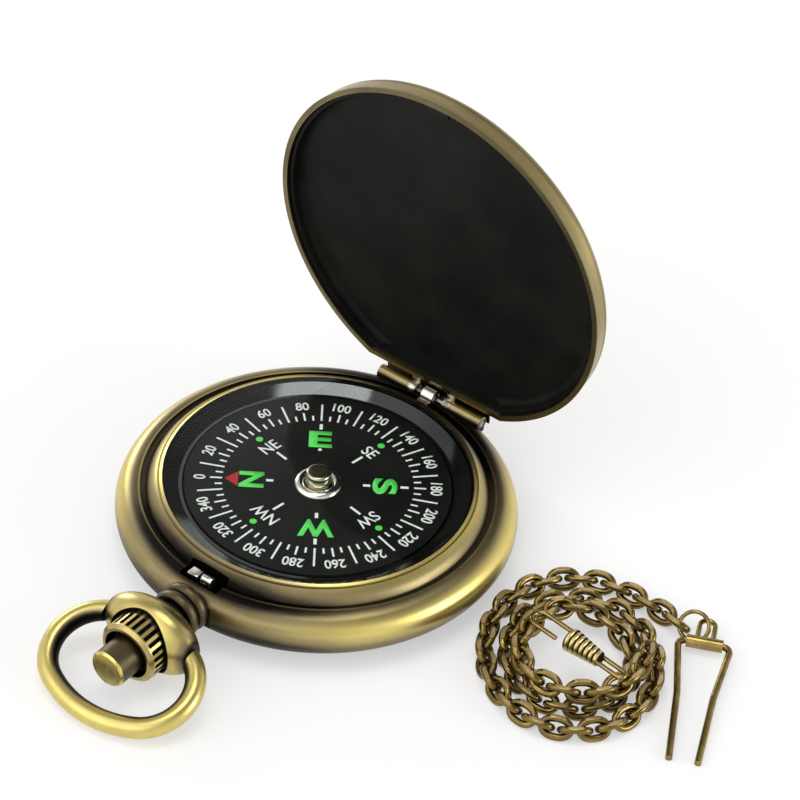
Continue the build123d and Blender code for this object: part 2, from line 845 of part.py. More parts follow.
def link_solid():
    """One oval link in the XY plane, long along X, with a many-sided wire."""
    wire = link_wire / 2
    end_radius = link_width / 2 - wire
    straight = link_length / 2 - link_width / 2
    sections = []
    for side in (1, -1):
        for step in range(link_bend_steps + 1):
            turn = math.pi * (step / link_bend_steps - 0.5) + (0 if side > 0 else math.pi)
            sections.append((side * straight, turn))
    rows = []
    for centre, turn in sections:
        row = []
        for k in range(link_sides):
            round_angle = 2 * math.pi * k / link_sides
            out = end_radius + wire * math.cos(round_angle)
            height = wire * math.sin(round_angle)
            row.append(Vector(centre + out * math.cos(turn), out * math.sin(turn), height))
        rows.append(row)
    faces = []
    for row, following in zip(rows, rows[1:] + rows[:1]):
        for k in range(link_sides):
            after = (k + 1) % link_sides
            corners = [row[k], following[k], following[after], row[after]]
            faces.append(Face(Wire.make_polygon(corners)))
    return Solid(Shell(faces))


def eased(share):
    """Smooth rise from 0 to 1, level at both ends."""
    held = min(max(share, 0), 1)
    return held ** 2 * (3 - 2 * held)


def chain_point(loops):
    """A point of the chain's line, which spirals in on the table, then climbs and runs round on top."""
    angle = 2 * math.pi * loops + math.radians(coil_start_angle)
    inward = min(loops, coil_turns)
    lift = eased((loops - coil_turns) / climb_turns + 1)
    spread = eased((loops - coil_turns) / climb_turns)
    flare = tail_reach * max(1 - loops / tail_turns, 0) ** 2
    along = coil_half_length - coil_long_step * inward + flare
    across = coil_half_width - coil_short_step * inward + flare
    u = (along + (top_radius - along) * spread) * math.cos(angle)
    v = (across + (top_radius - across) * spread) * math.sin(angle)
    tilt = math.radians(coil_angle)
    x = coil_centre_x + u * math.cos(tilt) - v * math.sin(tilt)
    y = coil_centre_y + u * math.sin(tilt) + v * math.cos(tilt)
    return Vector(x, y, floor_gap + chain_height() + lift * (2 * chain_height() + floor_gap))


def chain_places():
    """Link centres one pitch apart along the chain; the first and the last only give a heading."""
    pitch = link_length - 2 * link_wire - link_gap
    places = [chain_point(0)]
    loops = 0
    while loops < coil_turns + top_turns:
        step = pitch / (4 * math.pi * coil_half_length)
        while (chain_point(loops + step) - places[-1]).length < pitch:
            step *= 1 + step_growth_share
        loops += step
        places.append(chain_point(loops))
    return places


def chain_height():
    """Half the height of a rolled link."""
    return (link_width - link_wire) / 2 * math.sin(math.radians(link_roll)) + link_wire / 2


def chain_links():
    """All links of the coiled chain, rolled to one side and the other in turn."""
    link = link_solid()
    solids = []
    places = chain_places()
    for i, (last, place, following) in enumerate(zip(places, places[1:], places[2:])):
        run = following - last
        heading = math.degrees(math.atan2(run.Y, run.X))
        climb = math.degrees(math.atan2(run.Z, math.hypot(run.X, run.Y)))
        roll = -link_roll if i % 2 else link_roll
        solids.append(Pos(place) * Rot(0, 0, heading) * Rot(0, -climb, 0) * Rot(roll, 0, 0) * link)
    print("chain_links", len(solids))
    return Compound(children=solids)


def clasp_place():
    """Where the clasp lies: its own X runs from the hook to the eye."""
    height = 4 * chain_height() + 3 * floor_gap + clasp_wire / 2
    spot = (coil_centre_x + clasp_shift_x, coil_centre_y + clasp_shift_y, height)
    return Location(spot, (0, 0, clasp_angle))


def hairpin(length, width, wire, mouth):
    """A round wire from the origin out along +X, round a half turn and back to the mouth."""
    half = (width - wire) / 2
    bend = length - width / 2
    out = Line((0, -half), (bend, -half))
    turn = ThreePointArc((bend, -half), (bend + half, 0), (bend, half))
    back = Line((bend, half), (mouth, half))
    path = Wire([out.edge(), turn.edge(), back.edge()])
    return sweep(Plane(origin=(0, -half, 0), z_dir=(1, 0, 0)) * Circle(wire / 2), path=path)


def clasp_hook():
    """Wire hook with an open mouth at the sleeve's wide end."""
    hook = hairpin(clasp_hook_length, clasp_hook_width, clasp_wire, clasp_hook_mouth)
    return clasp_place() * Rot(0, 0, 180) * hook


def clasp_eye():
    """Closed wire eye at the sleeve's narrow end."""
    eye = hairpin(clasp_eye_length, clasp_eye_width, clasp_wire, 0)
    return clasp_place() * Pos(clasp_sleeve_length, 0, 0) * eye


def clasp_sleeve():
    """Tapered sleeve with turned ribs."""
    step = clasp_sleeve_length / clasp_rib_count
    fall = (clasp_sleeve_radius - clasp_sleeve_end_radius) / clasp_rib_count
    points = [(0, 0)]
    for i in range(clasp_rib_count):
        crest = clasp_sleeve_radius - i * fall
        root = crest - clasp_rib_depth
        points.append((root, i * step))
        points += [(crest, (i + share) * step) for share in clasp_rib_shares]
    points += [(root, clasp_sleeve_length), (0, clasp_sleeve_length), (0, 0)]
    return clasp_place() * Rot(0, 90, 0) * turned(*runs(*points))


def belt_place():
    """Where the clip lies: its own X runs down the legs, which sink to the table."""
    sink = math.degrees(math.asin((belt_height - belt_wire / 2 - floor_gap) / belt_leg_length))
    return Location((belt_x, belt_y, belt_height), (0, 0, belt_angle)) * Rot(0, sink, 0)


def belt_clip():
    """Hairpin of thick wire: two legs and the bar across their top."""
    foot = belt_foot_width / 2
    knee = belt_knee_width / 2
    top = belt_top_width / 2
    leg = [(0, top), (belt_knee, knee), (belt_leg_length, foot)]
    corners = [(x, -y) for x, y in reversed(leg)] + leg
    path = FilletPolyline(*corners, radius=belt_bend)
    return belt_place() * sweep(Plane(origin=path @ 0, z_dir=path % 0) * Circle(belt_wire / 2), path=path)


def belt_tube():
    """Tube round the bar."""
    tube = Cylinder(belt_tube_radius, belt_tube_length)
    tube -= Cylinder(belt_wire / 2 + fit_gap, belt_tube_length + cut_overrun)
    return belt_place() * Rot(90, 0, 0) * tube


def belt_loop():
    """Small wire loop behind the tube that the ring hangs on."""
    loop = hairpin(belt_loop_length, belt_loop_width, belt_loop_wire, 0)
    return belt_place() * Pos(-belt_tube_radius - fit_gap, 0, 0) * Rot(0, 0, 180) * loop


def belt_ring():
    """Jump ring through the loop and the chain's last link, standing on the table and leaning back."""
    height = belt_ring_radius * math.cos(math.radians(belt_ring_lean)) + belt_ring_wire / 2 + floor_gap
    ring = Rot(0, 90 - belt_ring_lean, 0) * Torus(belt_ring_radius, belt_ring_wire / 2)
    foot = Location((belt_x, belt_y, height), (0, 0, belt_angle))
    return foot * Pos(-belt_ring_back, -belt_ring_side, 0) * ring


def build():
    """Every node by name."""
    return {
        "case_band": case_band,
        "case_back": case_back,
        "bezel_ring": bezel_ring,
        "crystal": crystal,
        "crystal_gasket": crystal_gasket,
        "rehaut_ring": rehaut_ring,
        "dial_bowl": dial_bowl,
        "pivot_pin": pivot_pin,
        "compass_card": compass_card,
        "card_hub": card_hub,
        "jewel_post": jewel_post,
        "card_magnets": card_magnets,
        "lid_shell": lid_shell,
        "lid_liner": lid_liner,
        "lid_knuckles": lid_knuckles,
        "case_knuckles": case_knuckles,
        "hinge_pin": hinge_pin,
        "spring_tongue": spring_tongue,
        "lid_spring": lid_spring,
        "pendant_neck": pendant_neck,
        "pendant_collar": pendant_collar,
        "crown_sleeve": crown_sleeve,
        "push_button": push_button,
        "button_clip": button_clip,
        "button_spring": button_spring,
        "latch_catch": latch_catch,
        "bow": bow,
        "chain_links": chain_links,
        "clasp_hook": clasp_hook,
        "clasp_sleeve": clasp_sleeve,
        "clasp_eye": clasp_eye,
        "belt_clip": belt_clip,
        "belt_tube": belt_tube,
        "belt_loop": belt_loop,
        "belt_ring": belt_ring,
    }


for node, make in build().items():
    export_step(make(), f"parts/{node}.step")
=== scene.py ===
"""Looks of the pocket compass: antique brass, black enamel, printed card, glass and a curb chain."""
import logging
import math
from dataclasses import dataclass
from enum import Enum
from typing import Any, Callable, Iterable, Optional, Sequence, Union

import bpy
from mathutils import Matrix, Vector


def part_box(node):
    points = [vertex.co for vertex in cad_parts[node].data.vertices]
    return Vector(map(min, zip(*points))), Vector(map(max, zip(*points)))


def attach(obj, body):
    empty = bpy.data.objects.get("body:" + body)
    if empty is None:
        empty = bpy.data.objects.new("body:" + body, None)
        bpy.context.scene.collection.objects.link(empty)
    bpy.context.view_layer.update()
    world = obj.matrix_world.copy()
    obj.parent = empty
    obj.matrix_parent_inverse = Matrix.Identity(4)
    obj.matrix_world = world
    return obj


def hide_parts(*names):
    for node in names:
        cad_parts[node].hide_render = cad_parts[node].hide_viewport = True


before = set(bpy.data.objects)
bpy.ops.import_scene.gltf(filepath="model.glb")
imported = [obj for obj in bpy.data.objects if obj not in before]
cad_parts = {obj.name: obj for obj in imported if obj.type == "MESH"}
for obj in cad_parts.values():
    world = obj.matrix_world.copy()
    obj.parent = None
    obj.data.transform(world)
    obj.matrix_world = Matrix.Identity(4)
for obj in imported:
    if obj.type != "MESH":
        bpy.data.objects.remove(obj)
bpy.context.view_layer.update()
MM = 0.001
LOG = logging.getLogger("compass")
Piece = bpy.types.Object
Skin = bpy.types.Material
Point = tuple[float, float]
Triple = tuple[float, float, float]
Colour = Triple
Number = Union["Signal", float, int]
HINGE: Triple = (0.0, 21.95 * MM, 6.6 * MM)
LID_TURN = math.radians(84.4)
PENDANT_HEIGHT = 4.8 * MM
STROKE_ARC = 0.004
MERGE_CAD = 0.001 * MM
MERGE_OWN = 0.0001 * MM
SHEET_SHARP = math.radians(35.0)


class Body(Enum):
    """The moving bodies that pieces ride on."""

    CASE = "case"
    CARD = "card"
    LID = "lid"
    BUTTON = "button"
    CATCH = "catch"
    BOW = "bow"
    CHAIN = "chain"


class Slot(Enum):
    """Material slots."""

    BRASS = "antique_brass"
    STEEL = "steel"
    PAINT = "black_paint"
    GLOSS = "gloss_black"
    MATTE = "matte_black"
    CHROME = "bright_chrome"
    GLASS = "clear_glass"
    RUBBER = "seal_rubber"


class Axis(Enum):
    """The line that a piece was turned and brushed round."""

    CASE = "upright through the middle of the case"
    LID = "through the middle of the lid, which stands open"
    PENDANT = "along the pendant"
    CLASP = "along the sleeve of the snap clasp"


def math_node(operation: str, reflected: bool = False) -> Callable[..., "Signal"]:
    """Makes a method of Signal that adds one Math node.

    Args:
        operation: The node's operation.
        reflected: Whether the signal itself is the last input, not the first.

    Returns:
        The method, which takes the other inputs and returns the result.
    """

    def method(signal: "Signal", *others: Number) -> "Signal":
        """Result of the Math node."""
        operands = (*others, signal) if reflected else (signal, *others)
        return signal.paint.node("Math", {"operation": operation}, dict(enumerate(operands)))

    return method


class Signal:
    """One output of a node; arithmetic on it adds Math nodes."""

    def __init__(self, paint: "Tree", node: Any, name: Union[str, int] = 0) -> None:
        """Keeps what leads to the output.

        Args:
            paint: The node tree.
            node: The node.
            name: The output's name or number.
        """
        self.paint = paint
        self.node = node
        self.name = name

    def out(self, name: Union[str, int]) -> "Signal":
        """Another output of the same node."""
        return Signal(self.paint, self.node, name)

    __add__ = __radd__ = math_node("ADD")
    __sub__ = math_node("SUBTRACT")
    __rsub__ = math_node("SUBTRACT", reflected=True)
    __mul__ = __rmul__ = math_node("MULTIPLY")
    __truediv__ = math_node("DIVIDE")
    __pow__ = math_node("POWER")
    most = math_node("MAXIMUM")
    least = math_node("MINIMUM")
    over = math_node("GREATER_THAN")
    under = math_node("LESS_THAN")
    size = math_node("ABSOLUTE")
    wave = math_node("COSINE")
    angle_to = math_node("ARCTAN2")  # of the point that has this value as y and the other as x

    def step(self, low: float, high: float) -> "Signal":
        """Smooth rise from 0 at low to 1 at high."""
        settings = {"interpolation_type": "SMOOTHSTEP"}
        return self.paint.node("MapRange", settings, {0: self, 1: low, 2: high})


class Tree:
    """A node tree and the one way of adding nodes to it."""

    def __init__(self, tree: Any) -> None:
        """Empties the tree and keeps it."""
        self.tree = tree
        self.tree.nodes.clear()

    def node(self, kind: str, settings: dict[str, Any], sockets: dict[Any, Any]) -> Signal:
        """Adds a node: settings first, then the values or links of its sockets.

        Args:
            kind: The node's type, without its common prefix.
            settings: Attributes of the node; "stops" gives a ramp's stops.
            sockets: Input name or number to a value or a signal.

        Returns:
            The node's first output.
        """
        node = self.tree.nodes.new(f"ShaderNode{kind}")
        for key, value in settings.items():
            if key == "stops":
                self._stops(node.color_ramp.elements, value)
            else:
                setattr(node, key, value)
        for key, value in sockets.items():
            if isinstance(value, Signal):
                self.tree.links.new(value.node.outputs[value.name], node.inputs[key])
            else:
                socket = node.inputs[key]
                socket.default_value = (*value, 1.0) if socket.type == "RGBA" else value
        return Signal(self, node)

    @staticmethod
    def _stops(elements: Any, stops: Sequence[tuple[float, Colour]]) -> None:
        """Sets a ramp's stops.

        Args:
            elements: The ramp's own stops.
            stops: Position and colour of each stop, in order.
        """
        elements.remove(elements[1])
        elements[0].position, elements[0].color = stops[0][0], (*stops[0][1], 1.0)
        for position, colour in stops[1:]:
            elements.new(position).color = (*colour, 1.0)

    def ramp(self, share: Signal, stops: Sequence[tuple[float, Colour]]) -> Signal:
        """Colour that follows a share from 0 to 1."""
        return self.node("ValToRGB", {"stops": stops}, {0: share})


@dataclass(frozen=True)
class Spot:
    """A point of a piece, measured from the piece's own axis in metres."""

    paint: "Paint"
    x: Signal
    y: Signal
    along: Signal
    radius: Signal
    angle: Signal

    def inside(self, across: float, low: float, high: float) -> Signal:
        """One in the strip that is so wide about x = 0 and runs from low to high in y, all in millimetres."""
        return self.x.size().under(across * MM) * self.y.over(low * MM) * self.y.under(high * MM)

    def strokes(self) -> Signal:
        """Coordinates that are stretched along brush strokes round the axis."""
        sockets = {0: self.angle * STROKE_ARC, 1: self.radius, 2: self.along}
        return self.paint.node("CombineXYZ", {}, sockets)


class Paint(Tree):
    """One procedural material and the nodes in it."""

    TURNS = {
        Axis.CASE: ((0.0, 0.0, 0.0), (0.0, 0.0, 0.0), 0.0),
        Axis.LID: (HINGE, (LID_TURN, 0.0, 0.0), HINGE[1]),
        Axis.PENDANT: ((0.0, 0.0, PENDANT_HEIGHT), (-math.pi / 2, 0.0, 0.0), 0.0),
        Axis.CLASP: ((35.75 * MM, 0.25 * MM, 4.97 * MM), (0.0, -math.pi / 2, math.radians(6.5)), 0.0),
    }

    def __init__(self, name: str) -> None:
        """Starts an empty material.

        Args:
            name: The material's name.
        """
        self.material = bpy.data.materials.new(name)
        self.material.use_nodes = True
        super().__init__(self.material.node_tree)

    def place(self) -> Signal:
        """Object coordinates."""
        return self.node("TexCoord", {}, {}).out("Object")

    def facing(self) -> Signal:
        """Which way the surface faces, in the piece's own directions."""
        return self.node("TexCoord", {}, {}).out("Normal")

    def vector(self, operation: str, *operands: Any) -> Signal:
        """Result of one Vector Math node with these inputs."""
        return self.node("VectorMath", {"operation": operation}, dict(enumerate(operands)))

    def spot(self, axis: Axis) -> Spot:
        """Measures the surface from one of the axes.

        Args:
            axis: The axis.

        Returns:
            The measures.
        """
        origin, turn, back = self.TURNS[axis]
        moved = self.vector("SUBTRACT", self.place(), origin)
        turned = self.node("Mapping", {"vector_type": "POINT"}, {0: moved, "Rotation": turn})
        parts = self.node("SeparateXYZ", {}, {0: turned})
        x, y = parts.out("X"), parts.out("Y") + back
        return Spot(self, x, y, parts.out("Z"), (x * x + y * y) ** 0.5, y.angle_to(x))

    def noise(self, scale: float, detail: float = 3.0, vector: Optional[Signal] = None) -> Signal:
        """Noise from 0 to 1, read at the object coordinates unless another vector is given."""
        sockets = {"Vector": vector or self.place(), "Scale": scale, "Detail": detail}
        return self.node("TexNoise", {}, sockets)

    def mix(self, share: Number, first: Any, second: Any) -> Signal:
        """Blend of two colours."""
        return self.node("Mix", {"data_type": "RGBA"}, {0: share, 6: first, 7: second}).out(2)

    def surface(self, **sockets: Any) -> None:
        """Joins the surface shader to the output; spaces in its inputs' names are written as underscores."""
        named = {key.replace("_", " "): value for key, value in sockets.items()}
        self.output(self.node("BsdfPrincipled", {}, named))

    def output(self, shader: Signal) -> None:
        """Joins a shader to the material's output."""
        self.node("OutputMaterial", {}, {"Surface": shader})

    def bump(self, height: Signal, strength: float, depth: float) -> Signal:
        """Normal of a bumpy surface."""
        sockets = {"Strength": strength, "Distance": depth, "Height": height}
        return self.node("Bump", {}, sockets)


@dataclass(frozen=True)
class Ramp:
    """A measure in millimetres turned into a share, in straight runs between stops."""

    stops: tuple[Point, ...]

    def read(self, measure: Signal) -> Signal:
        """Reads the ramp.

        Args:
            measure: The measure, in metres.

        Returns:
            The share there.
        """
        low, high = self.stops[0][0], self.stops[-1][0]
        spread = measure.paint.node("MapRange", {}, {0: measure, 1: low * MM, 2: high * MM})
        stops = [((at - low) / (high - low), (share, share, share)) for at, share in self.stops]
        return measure.paint.ramp(spread, stops)


@dataclass(frozen=True)
class Patina:
    """How dark the brass is over a piece, from patina and, where a subclass or the dark leaf says so, painted
    shade: here as dark all over, apart from chance.
    """

    axis: Axis = Axis.CASE
    depth: float = 0.3

    def dark(self, spot: Spot) -> Number:
        """Darkness from 0 to 1 at a spot."""
        return self.depth

    def black(self, spot: Spot) -> Optional[Signal]:
        """One where black paint covers the brass, or nothing for bare brass."""
        return None


@dataclass(frozen=True)
class CasePatina(Patina):
    """Dark in the groove and bright at the lip and the band's top edge; painted shade in the slot, the
    pocket, on the inner half of the roll, under the roll and towards the pendant and the hinge; a painted
    highlight on the outer half of the roll.
    """

    # Darkness across the radius: bright at the lip, darker out over the bezel, dark in the groove, a bright
    # top edge of the band, then painted shade on the inner half of the roll and a painted highlight on its
    # outer half.
    top: Ramp = Ramp((
        (17.8, 0.0), (18.4, 0.04), (19.3, 0.36), (19.9, 0.6), (19.98, 0.84), (20.6, 0.84), (20.66, 0.25),
        (20.76, 0.3), (20.95, 0.66), (21.5, 0.6), (22.2, 0.2), (22.8, 0.04), (23.5, 0.0),
    ))
    # Painted shade under the roll: darker towards the back.
    side: Ramp = Ramp(((0.5, 0.95), (2.2, 0.8), (3.5, 0.54), (4.4, 0.24), (5.4, 0.0)))
    # Painted shade towards the pendant and the hinge, where the brushed ring's reflection is dark.
    ends: float = 0.5
    end_rise: Point = (0.35, 1.0)
    # Painted shade in the latch slot and in the hinge pocket.
    slot: Triple = (2.69, -21.7, -19.1)
    slot_top: float = 6.9 * MM
    slot_depth: float = 0.8
    pocket: Triple = (7.85, 20.7, 24.0)
    pocket_floor: float = 5.3 * MM

    def dark(self, spot: Spot) -> Signal:
        """Darkness of a spot.

        Args:
            spot: The spot.

        Returns:
            The darkness, from 0 to 1.
        """
        # Painted shade towards the pendant and the hinge, added to the painted shade and highlight across and
        # under the roll, then painted shade in the slot and the pocket.
        painted_end_shade = (spot.y * spot.y / (spot.radius * spot.radius)).step(*self.end_rise) * self.ends
        worn = self.top.read(spot.radius).most(self.side.read(spot.along)) + painted_end_shade
        slot = spot.inside(*self.slot) * spot.along.under(self.slot_top)
        pocket = spot.inside(*self.pocket) * spot.along.over(self.pocket_floor)
        return worn.most(slot * self.slot_depth).most(pocket)


@dataclass(frozen=True)
class LidPatina(Patina):
    """Tan rim face, darker straight side and darker foot of the dome, partly patina and partly painted shade;
    brushed gold elsewhere outside, black paint inside.
    """

    axis: Axis = Axis.LID
    # Darker ring at the foot of the dome, partly painted shade.
    dome: Ramp = Ramp(((0.0, 0.2), (9.0, 0.14), (16.0, 0.26), (20.4, 0.5), (21.2, 0.3), (22.5, 0.1)))
    # Darkness up the lid: tan rim face and side wall darkened partly as painted shade, then a darker foot of
    # the dome.
    height: Ramp = Ramp((
        (0.4, 0.62), (0.58, 0.62), (0.75, 0.44), (2.2, 0.34), (2.5, 0.54), (3.4, 0.26), (5.4, 0.18),
    ))
    dome_foot: float = 2.5 * MM
    # Straight side by the hinge darkened partly as painted shade.
    straight: float = 19.9 * MM
    straight_depth: float = 0.42
    inner_radius: float = 22.05 * MM
    inner_height: float = 2.2 * MM
    inner_straight: float = 19.84 * MM

    def dark(self, spot: Spot) -> Signal:
        """Darkness of a spot.

        Args:
            spot: The spot.

        Returns:
            The darkness, from 0 to 1.
        """
        dome = self.dome.read(spot.radius) * spot.along.over(self.dome_foot)
        straight = spot.y.over(self.straight) * self.straight_depth
        return self.height.read(spot.along).most(straight).most(dome)

    def black(self, spot: Spot) -> Signal:
        """One inside the rim."""
        dish = spot.radius.under(self.inner_radius) * spot.along.under(self.inner_height)
        return dish * spot.y.under(self.inner_straight)


@dataclass(frozen=True)
class NeckPatina(Patina):
    """Dark brown, a little rubbed on the beads."""

    axis: Axis = Axis.PENDANT
    crest: Ramp = Ramp(((1.9, 1.0), (2.5, 0.92), (3.0, 0.7)))

    def dark(self, spot: Spot) -> Signal:
        """Darkness from 0 to 1 at a spot."""
        return self.crest.read(spot.radius)


@dataclass(frozen=True)
class CollarPatina(Patina):
    """Bright barrel, with painted shade in the mouth that holds the crown, at its ends and next to the neck.
    """

    axis: Axis = Axis.PENDANT
    length: Ramp = Ramp(((26.0, 0.85), (27.3, 0.5), (28.3, 0.18), (32.3, 0.12)))
    ends: Ramp = Ramp(((4.4, 0.0), (5.5, 0.6), (5.85, 1.0)))
    mouth_radius: float = 4.2 * MM
    mouth_from: float = 30.2 * MM
    mouth_depth: float = 1.1

    def dark(self, spot: Spot) -> Signal:
        """Darkness from 0 to 1 at a spot."""
        # Painted shade in the mouth, at the ends and next to the neck.
        mouth = spot.radius.under(self.mouth_radius) * spot.along.over(self.mouth_from) * self.mouth_depth
        return self.length.read(spot.along).most(self.ends.read(spot.x.size())).most(mouth)


@dataclass(frozen=True)
class CrownPatina(Patina):
    """Painted highlight on the ridges and rim, painted shade on the ridges' flanks, in the slots and in the
    mouth.
    """

    axis: Axis = Axis.PENDANT
    ridge: Ramp = Ramp((
        (3.0, 1.1), (3.02, 0.3), (3.36, 0.3), (3.4, 1.1), (3.6, 1.0), (3.68, 0.25), (3.75, 0.1),
    ))
    face: Ramp = Ramp(((32.9, 1.0), (33.1, 0.3), (33.63, 0.25)))
    mouth: float = 3.01 * MM
    mouth_depth: float = 1.1
    slots: int = 26
    slot_rise: Point = (-0.75, 0.2)
    slot_depth: float = 0.85

    def dark(self, spot: Spot) -> Signal:
        """Darkness of a spot.

        Args:
            spot: The spot.

        Returns:
            The darkness, from 0 to 1.
        """
        mouth = spot.radius.under(self.mouth) * self.mouth_depth
        rim = self.face.read(spot.along) * spot.radius.over(self.mouth) + mouth
        # Painted shade on the flanks of the ridges and in the slots.
        flank = (spot.angle * self.slots).wave().step(*self.slot_rise) * self.slot_depth
        return self.ridge.read(spot.radius).most(flank).least(rim)


@dataclass(frozen=True)
class ButtonPatina(Patina):
    """Brown side and a mottled end with a bright rim."""

    axis: Axis = Axis.PENDANT
    face: Ramp = Ramp(((0.0, 0.02), (0.9, 0.14), (1.5, 0.0), (1.95, 0.05), (2.1, 0.0), (2.25, 0.0)))
    side: float = 0.72
    end: float = 36.55 * MM
    blotch_scale: float = 900.0
    blotch_rise: Point = (0.5, 0.68)
    blotch_depth: float = 0.3

    def dark(self, spot: Spot) -> Signal:
        """Darkness of a spot.

        Args:
            spot: The spot.

        Returns:
            The darkness, from 0 to 1.
        """
        end = spot.along.over(self.end)
        patches = spot.paint.noise(self.blotch_scale)
        blotch = patches.step(*self.blotch_rise) * self.blotch_depth
        return end * (self.face.read(spot.radius) + blotch) + (1 - end) * self.side


@dataclass(frozen=True)
class BowPatina(Patina):
    """Bright outside, with painted shade on the side that faces the middle of the loop."""

    middle: Triple = (0.0, -34.6 * MM, 3.2 * MM)
    rise: Point = (0.0, 0.75)
    depth: float = 0.95
    outside: float = 0.06

    def dark(self, spot: Spot) -> Signal:
        """Darkness of a spot.

        Args:
            spot: The spot.

        Returns:
            The darkness, from 0 to 1.
        """
        paint = spot.paint
        away = paint.vector("SUBTRACT", paint.place(), self.middle)
        outwards = paint.vector("NORMALIZE", away)
        # Painted shade where the surface faces the middle of the loop.
        toward = 0 - paint.vector("DOT_PRODUCT", outwards, paint.facing()).out("Value")
        return toward.step(*self.rise) * self.depth + self.outside


@dataclass(frozen=True)
class SleevePatina(Patina):
    """Painted highlight on the ribs and painted shade in the grooves between them."""

    axis: Axis = Axis.CLASP
    pitch: float = 4.5 * MM / 7
    rise: Point = (0.1, 0.8)
    depth: float = 0.9
    crest: float = 0.08

    def dark(self, spot: Spot) -> Signal:
        """Darkness from 0 to 1 at a spot."""
        ribs = (spot.along * (2 * math.pi / self.pitch)).wave()
        return ribs.step(*self.rise) * self.depth + self.crest


@dataclass(frozen=True)
class KnucklePatina(Patina):
    """Painted highlight in gold along the top of the hinge tubes, painted shade in brown below."""

    # Painted shade: darker lower down the tubes.
    height: Ramp = Ramp(((5.6, 1.0), (6.9, 0.8), (7.25, 0.5), (7.5, 0.16)))

    def dark(self, spot: Spot) -> Signal:
        """Darkness from 0 to 1 at a spot."""
        return self.height.read(spot.along)


@dataclass(frozen=True)
class Brass:
    """Brushed antique brass: gold, tan, then olive brown as the darkness rises; the darkness is patina and
    wear in some places and painted shade and painted highlight in others.
    """

    name: str
    patina: Patina
    gold: Colour = (0.72, 0.59, 0.19)
    tan: Colour = (0.33, 0.265, 0.125)
    brown: Colour = (0.062, 0.048, 0.03)
    ink: Colour = (0.008, 0.007, 0.005)
    paint_black: Colour = (0.006, 0.006, 0.005)
    paint_gloss: float = 0.12
    roughness: float = 0.31
    stroke_scale: float = 900.0
    chance: float = 0.4
    brushed: bool = True
    anisotropy: float = 0.0
    metal: float = 1.0
    cloud_scale: float = 170.0
    speck_scale: float = 2600.0
    shares: Triple = (0.5, 0.35, 0.15)
    tan_from: float = 0.4
    brown_from: float = 0.8
    stroke_rough: float = 0.14
    dark_rough: float = 0.16
    dark_rise: Point = (0.2, 1.0)
    speck_bump: float = 0.3
    bump: float = 0.2
    bump_depth: float = 0.03 * MM

    def paint(self) -> Skin:
        """Builds the material.

        Returns:
            The material.
        """
        paint = Paint(self.name)
        spot = paint.spot(self.patina.axis)
        strokes = paint.noise(self.stroke_scale, 4.0, spot.strokes() if self.brushed else None)
        cloud = paint.noise(self.cloud_scale, 4.0)
        speck = paint.noise(self.speck_scale, 2.0)
        by_stroke, by_cloud, by_speck = self.shares
        drift = (strokes * by_stroke + cloud * by_cloud + speck * by_speck - 0.5) * self.chance
        dark = drift + self.patina.dark(spot)
        shades = ((0.0, self.gold), (self.tan_from, self.tan), (self.brown_from, self.brown), (1.0, self.ink))
        colour = paint.ramp(dark, shades)
        smooth = self.roughness - self.stroke_rough / 2
        rough = strokes * self.stroke_rough + dark.step(*self.dark_rise) * self.dark_rough + smooth
        looks: dict[str, Any] = {"Metallic": self.metal, "Base_Color": colour, "Roughness": rough}
        black = self.patina.black(spot)
        if black is not None:
            looks["Base_Color"] = paint.mix(black, colour, self.paint_black)
            looks["Metallic"] = 1 - black
            looks["Specular_IOR_Level"] = self.paint_gloss
        normal = paint.bump(strokes + speck * self.speck_bump, self.bump, self.bump_depth)
        paint.surface(Normal=normal, Anisotropic=self.anisotropy, **looks)
        return paint.material


@dataclass(frozen=True)
class Steel:
    """Plain metal with faint scratches and dull patches."""

    name: str
    light: Colour = (0.78, 0.76, 0.7)
    dull: Colour = (0.34, 0.32, 0.27)
    roughness: float = 0.2
    patch: Point = (0.42, 0.72)
    cloud_scale: float = 900.0
    scratch_scale: float = 4200.0
    scratch_rough: float = 0.16
    bump: float = 0.15
    bump_depth: float = 0.02 * MM

    def paint(self) -> Skin:
        """Builds the material.

        Returns:
            The material.
        """
        paint = Paint(self.name)
        cloud = paint.noise(self.cloud_scale)
        scratch = paint.noise(self.scratch_scale, 2.0)
        colour = paint.mix(cloud.step(*self.patch), self.light, self.dull)
        rough = scratch * self.scratch_rough + self.roughness
        normal = paint.bump(scratch, self.bump, self.bump_depth)
        paint.surface(Base_Color=colour, Metallic=1.0, Roughness=rough, Normal=normal)
        return paint.material


@dataclass(frozen=True)
class Enamel:
    """Black paint, card stock or plastic with a fine grain."""

    name: str
    black: Colour = (0.0035, 0.0035, 0.003)
    grey: Colour = (0.009, 0.009, 0.0075)
    roughness: float = 0.4
    grain: float = 0.1
    specular: float = 0.25
    ior: float = 1.45
    cloud_scale: float = 160.0
    cloud_rise: Point = (0.3, 0.75)
    grain_scale: float = 5200.0
    grain_depth: float = 0.02 * MM
    rough_share: float = 0.2

    def paint(self) -> Skin:
        """Builds the material.

        Returns:
            The material.
        """
        paint = Paint(self.name)
        cloud = paint.noise(self.cloud_scale, 4.0)
        grain = paint.noise(self.grain_scale, 2.0)
        looks: dict[str, Any] = {"Specular_IOR_Level": self.specular, "IOR": self.ior}
        if self.grain:
            looks["Normal"] = paint.bump(grain, self.grain, self.grain_depth)
        colour = paint.mix(cloud.step(*self.cloud_rise), self.black, self.grey)
        fine = grain + cloud if self.grain else cloud
        rough = fine * (self.roughness * self.rough_share) + self.roughness * (1 - self.rough_share)
        paint.surface(Base_Color=colour, Roughness=rough, **looks)
        return paint.material


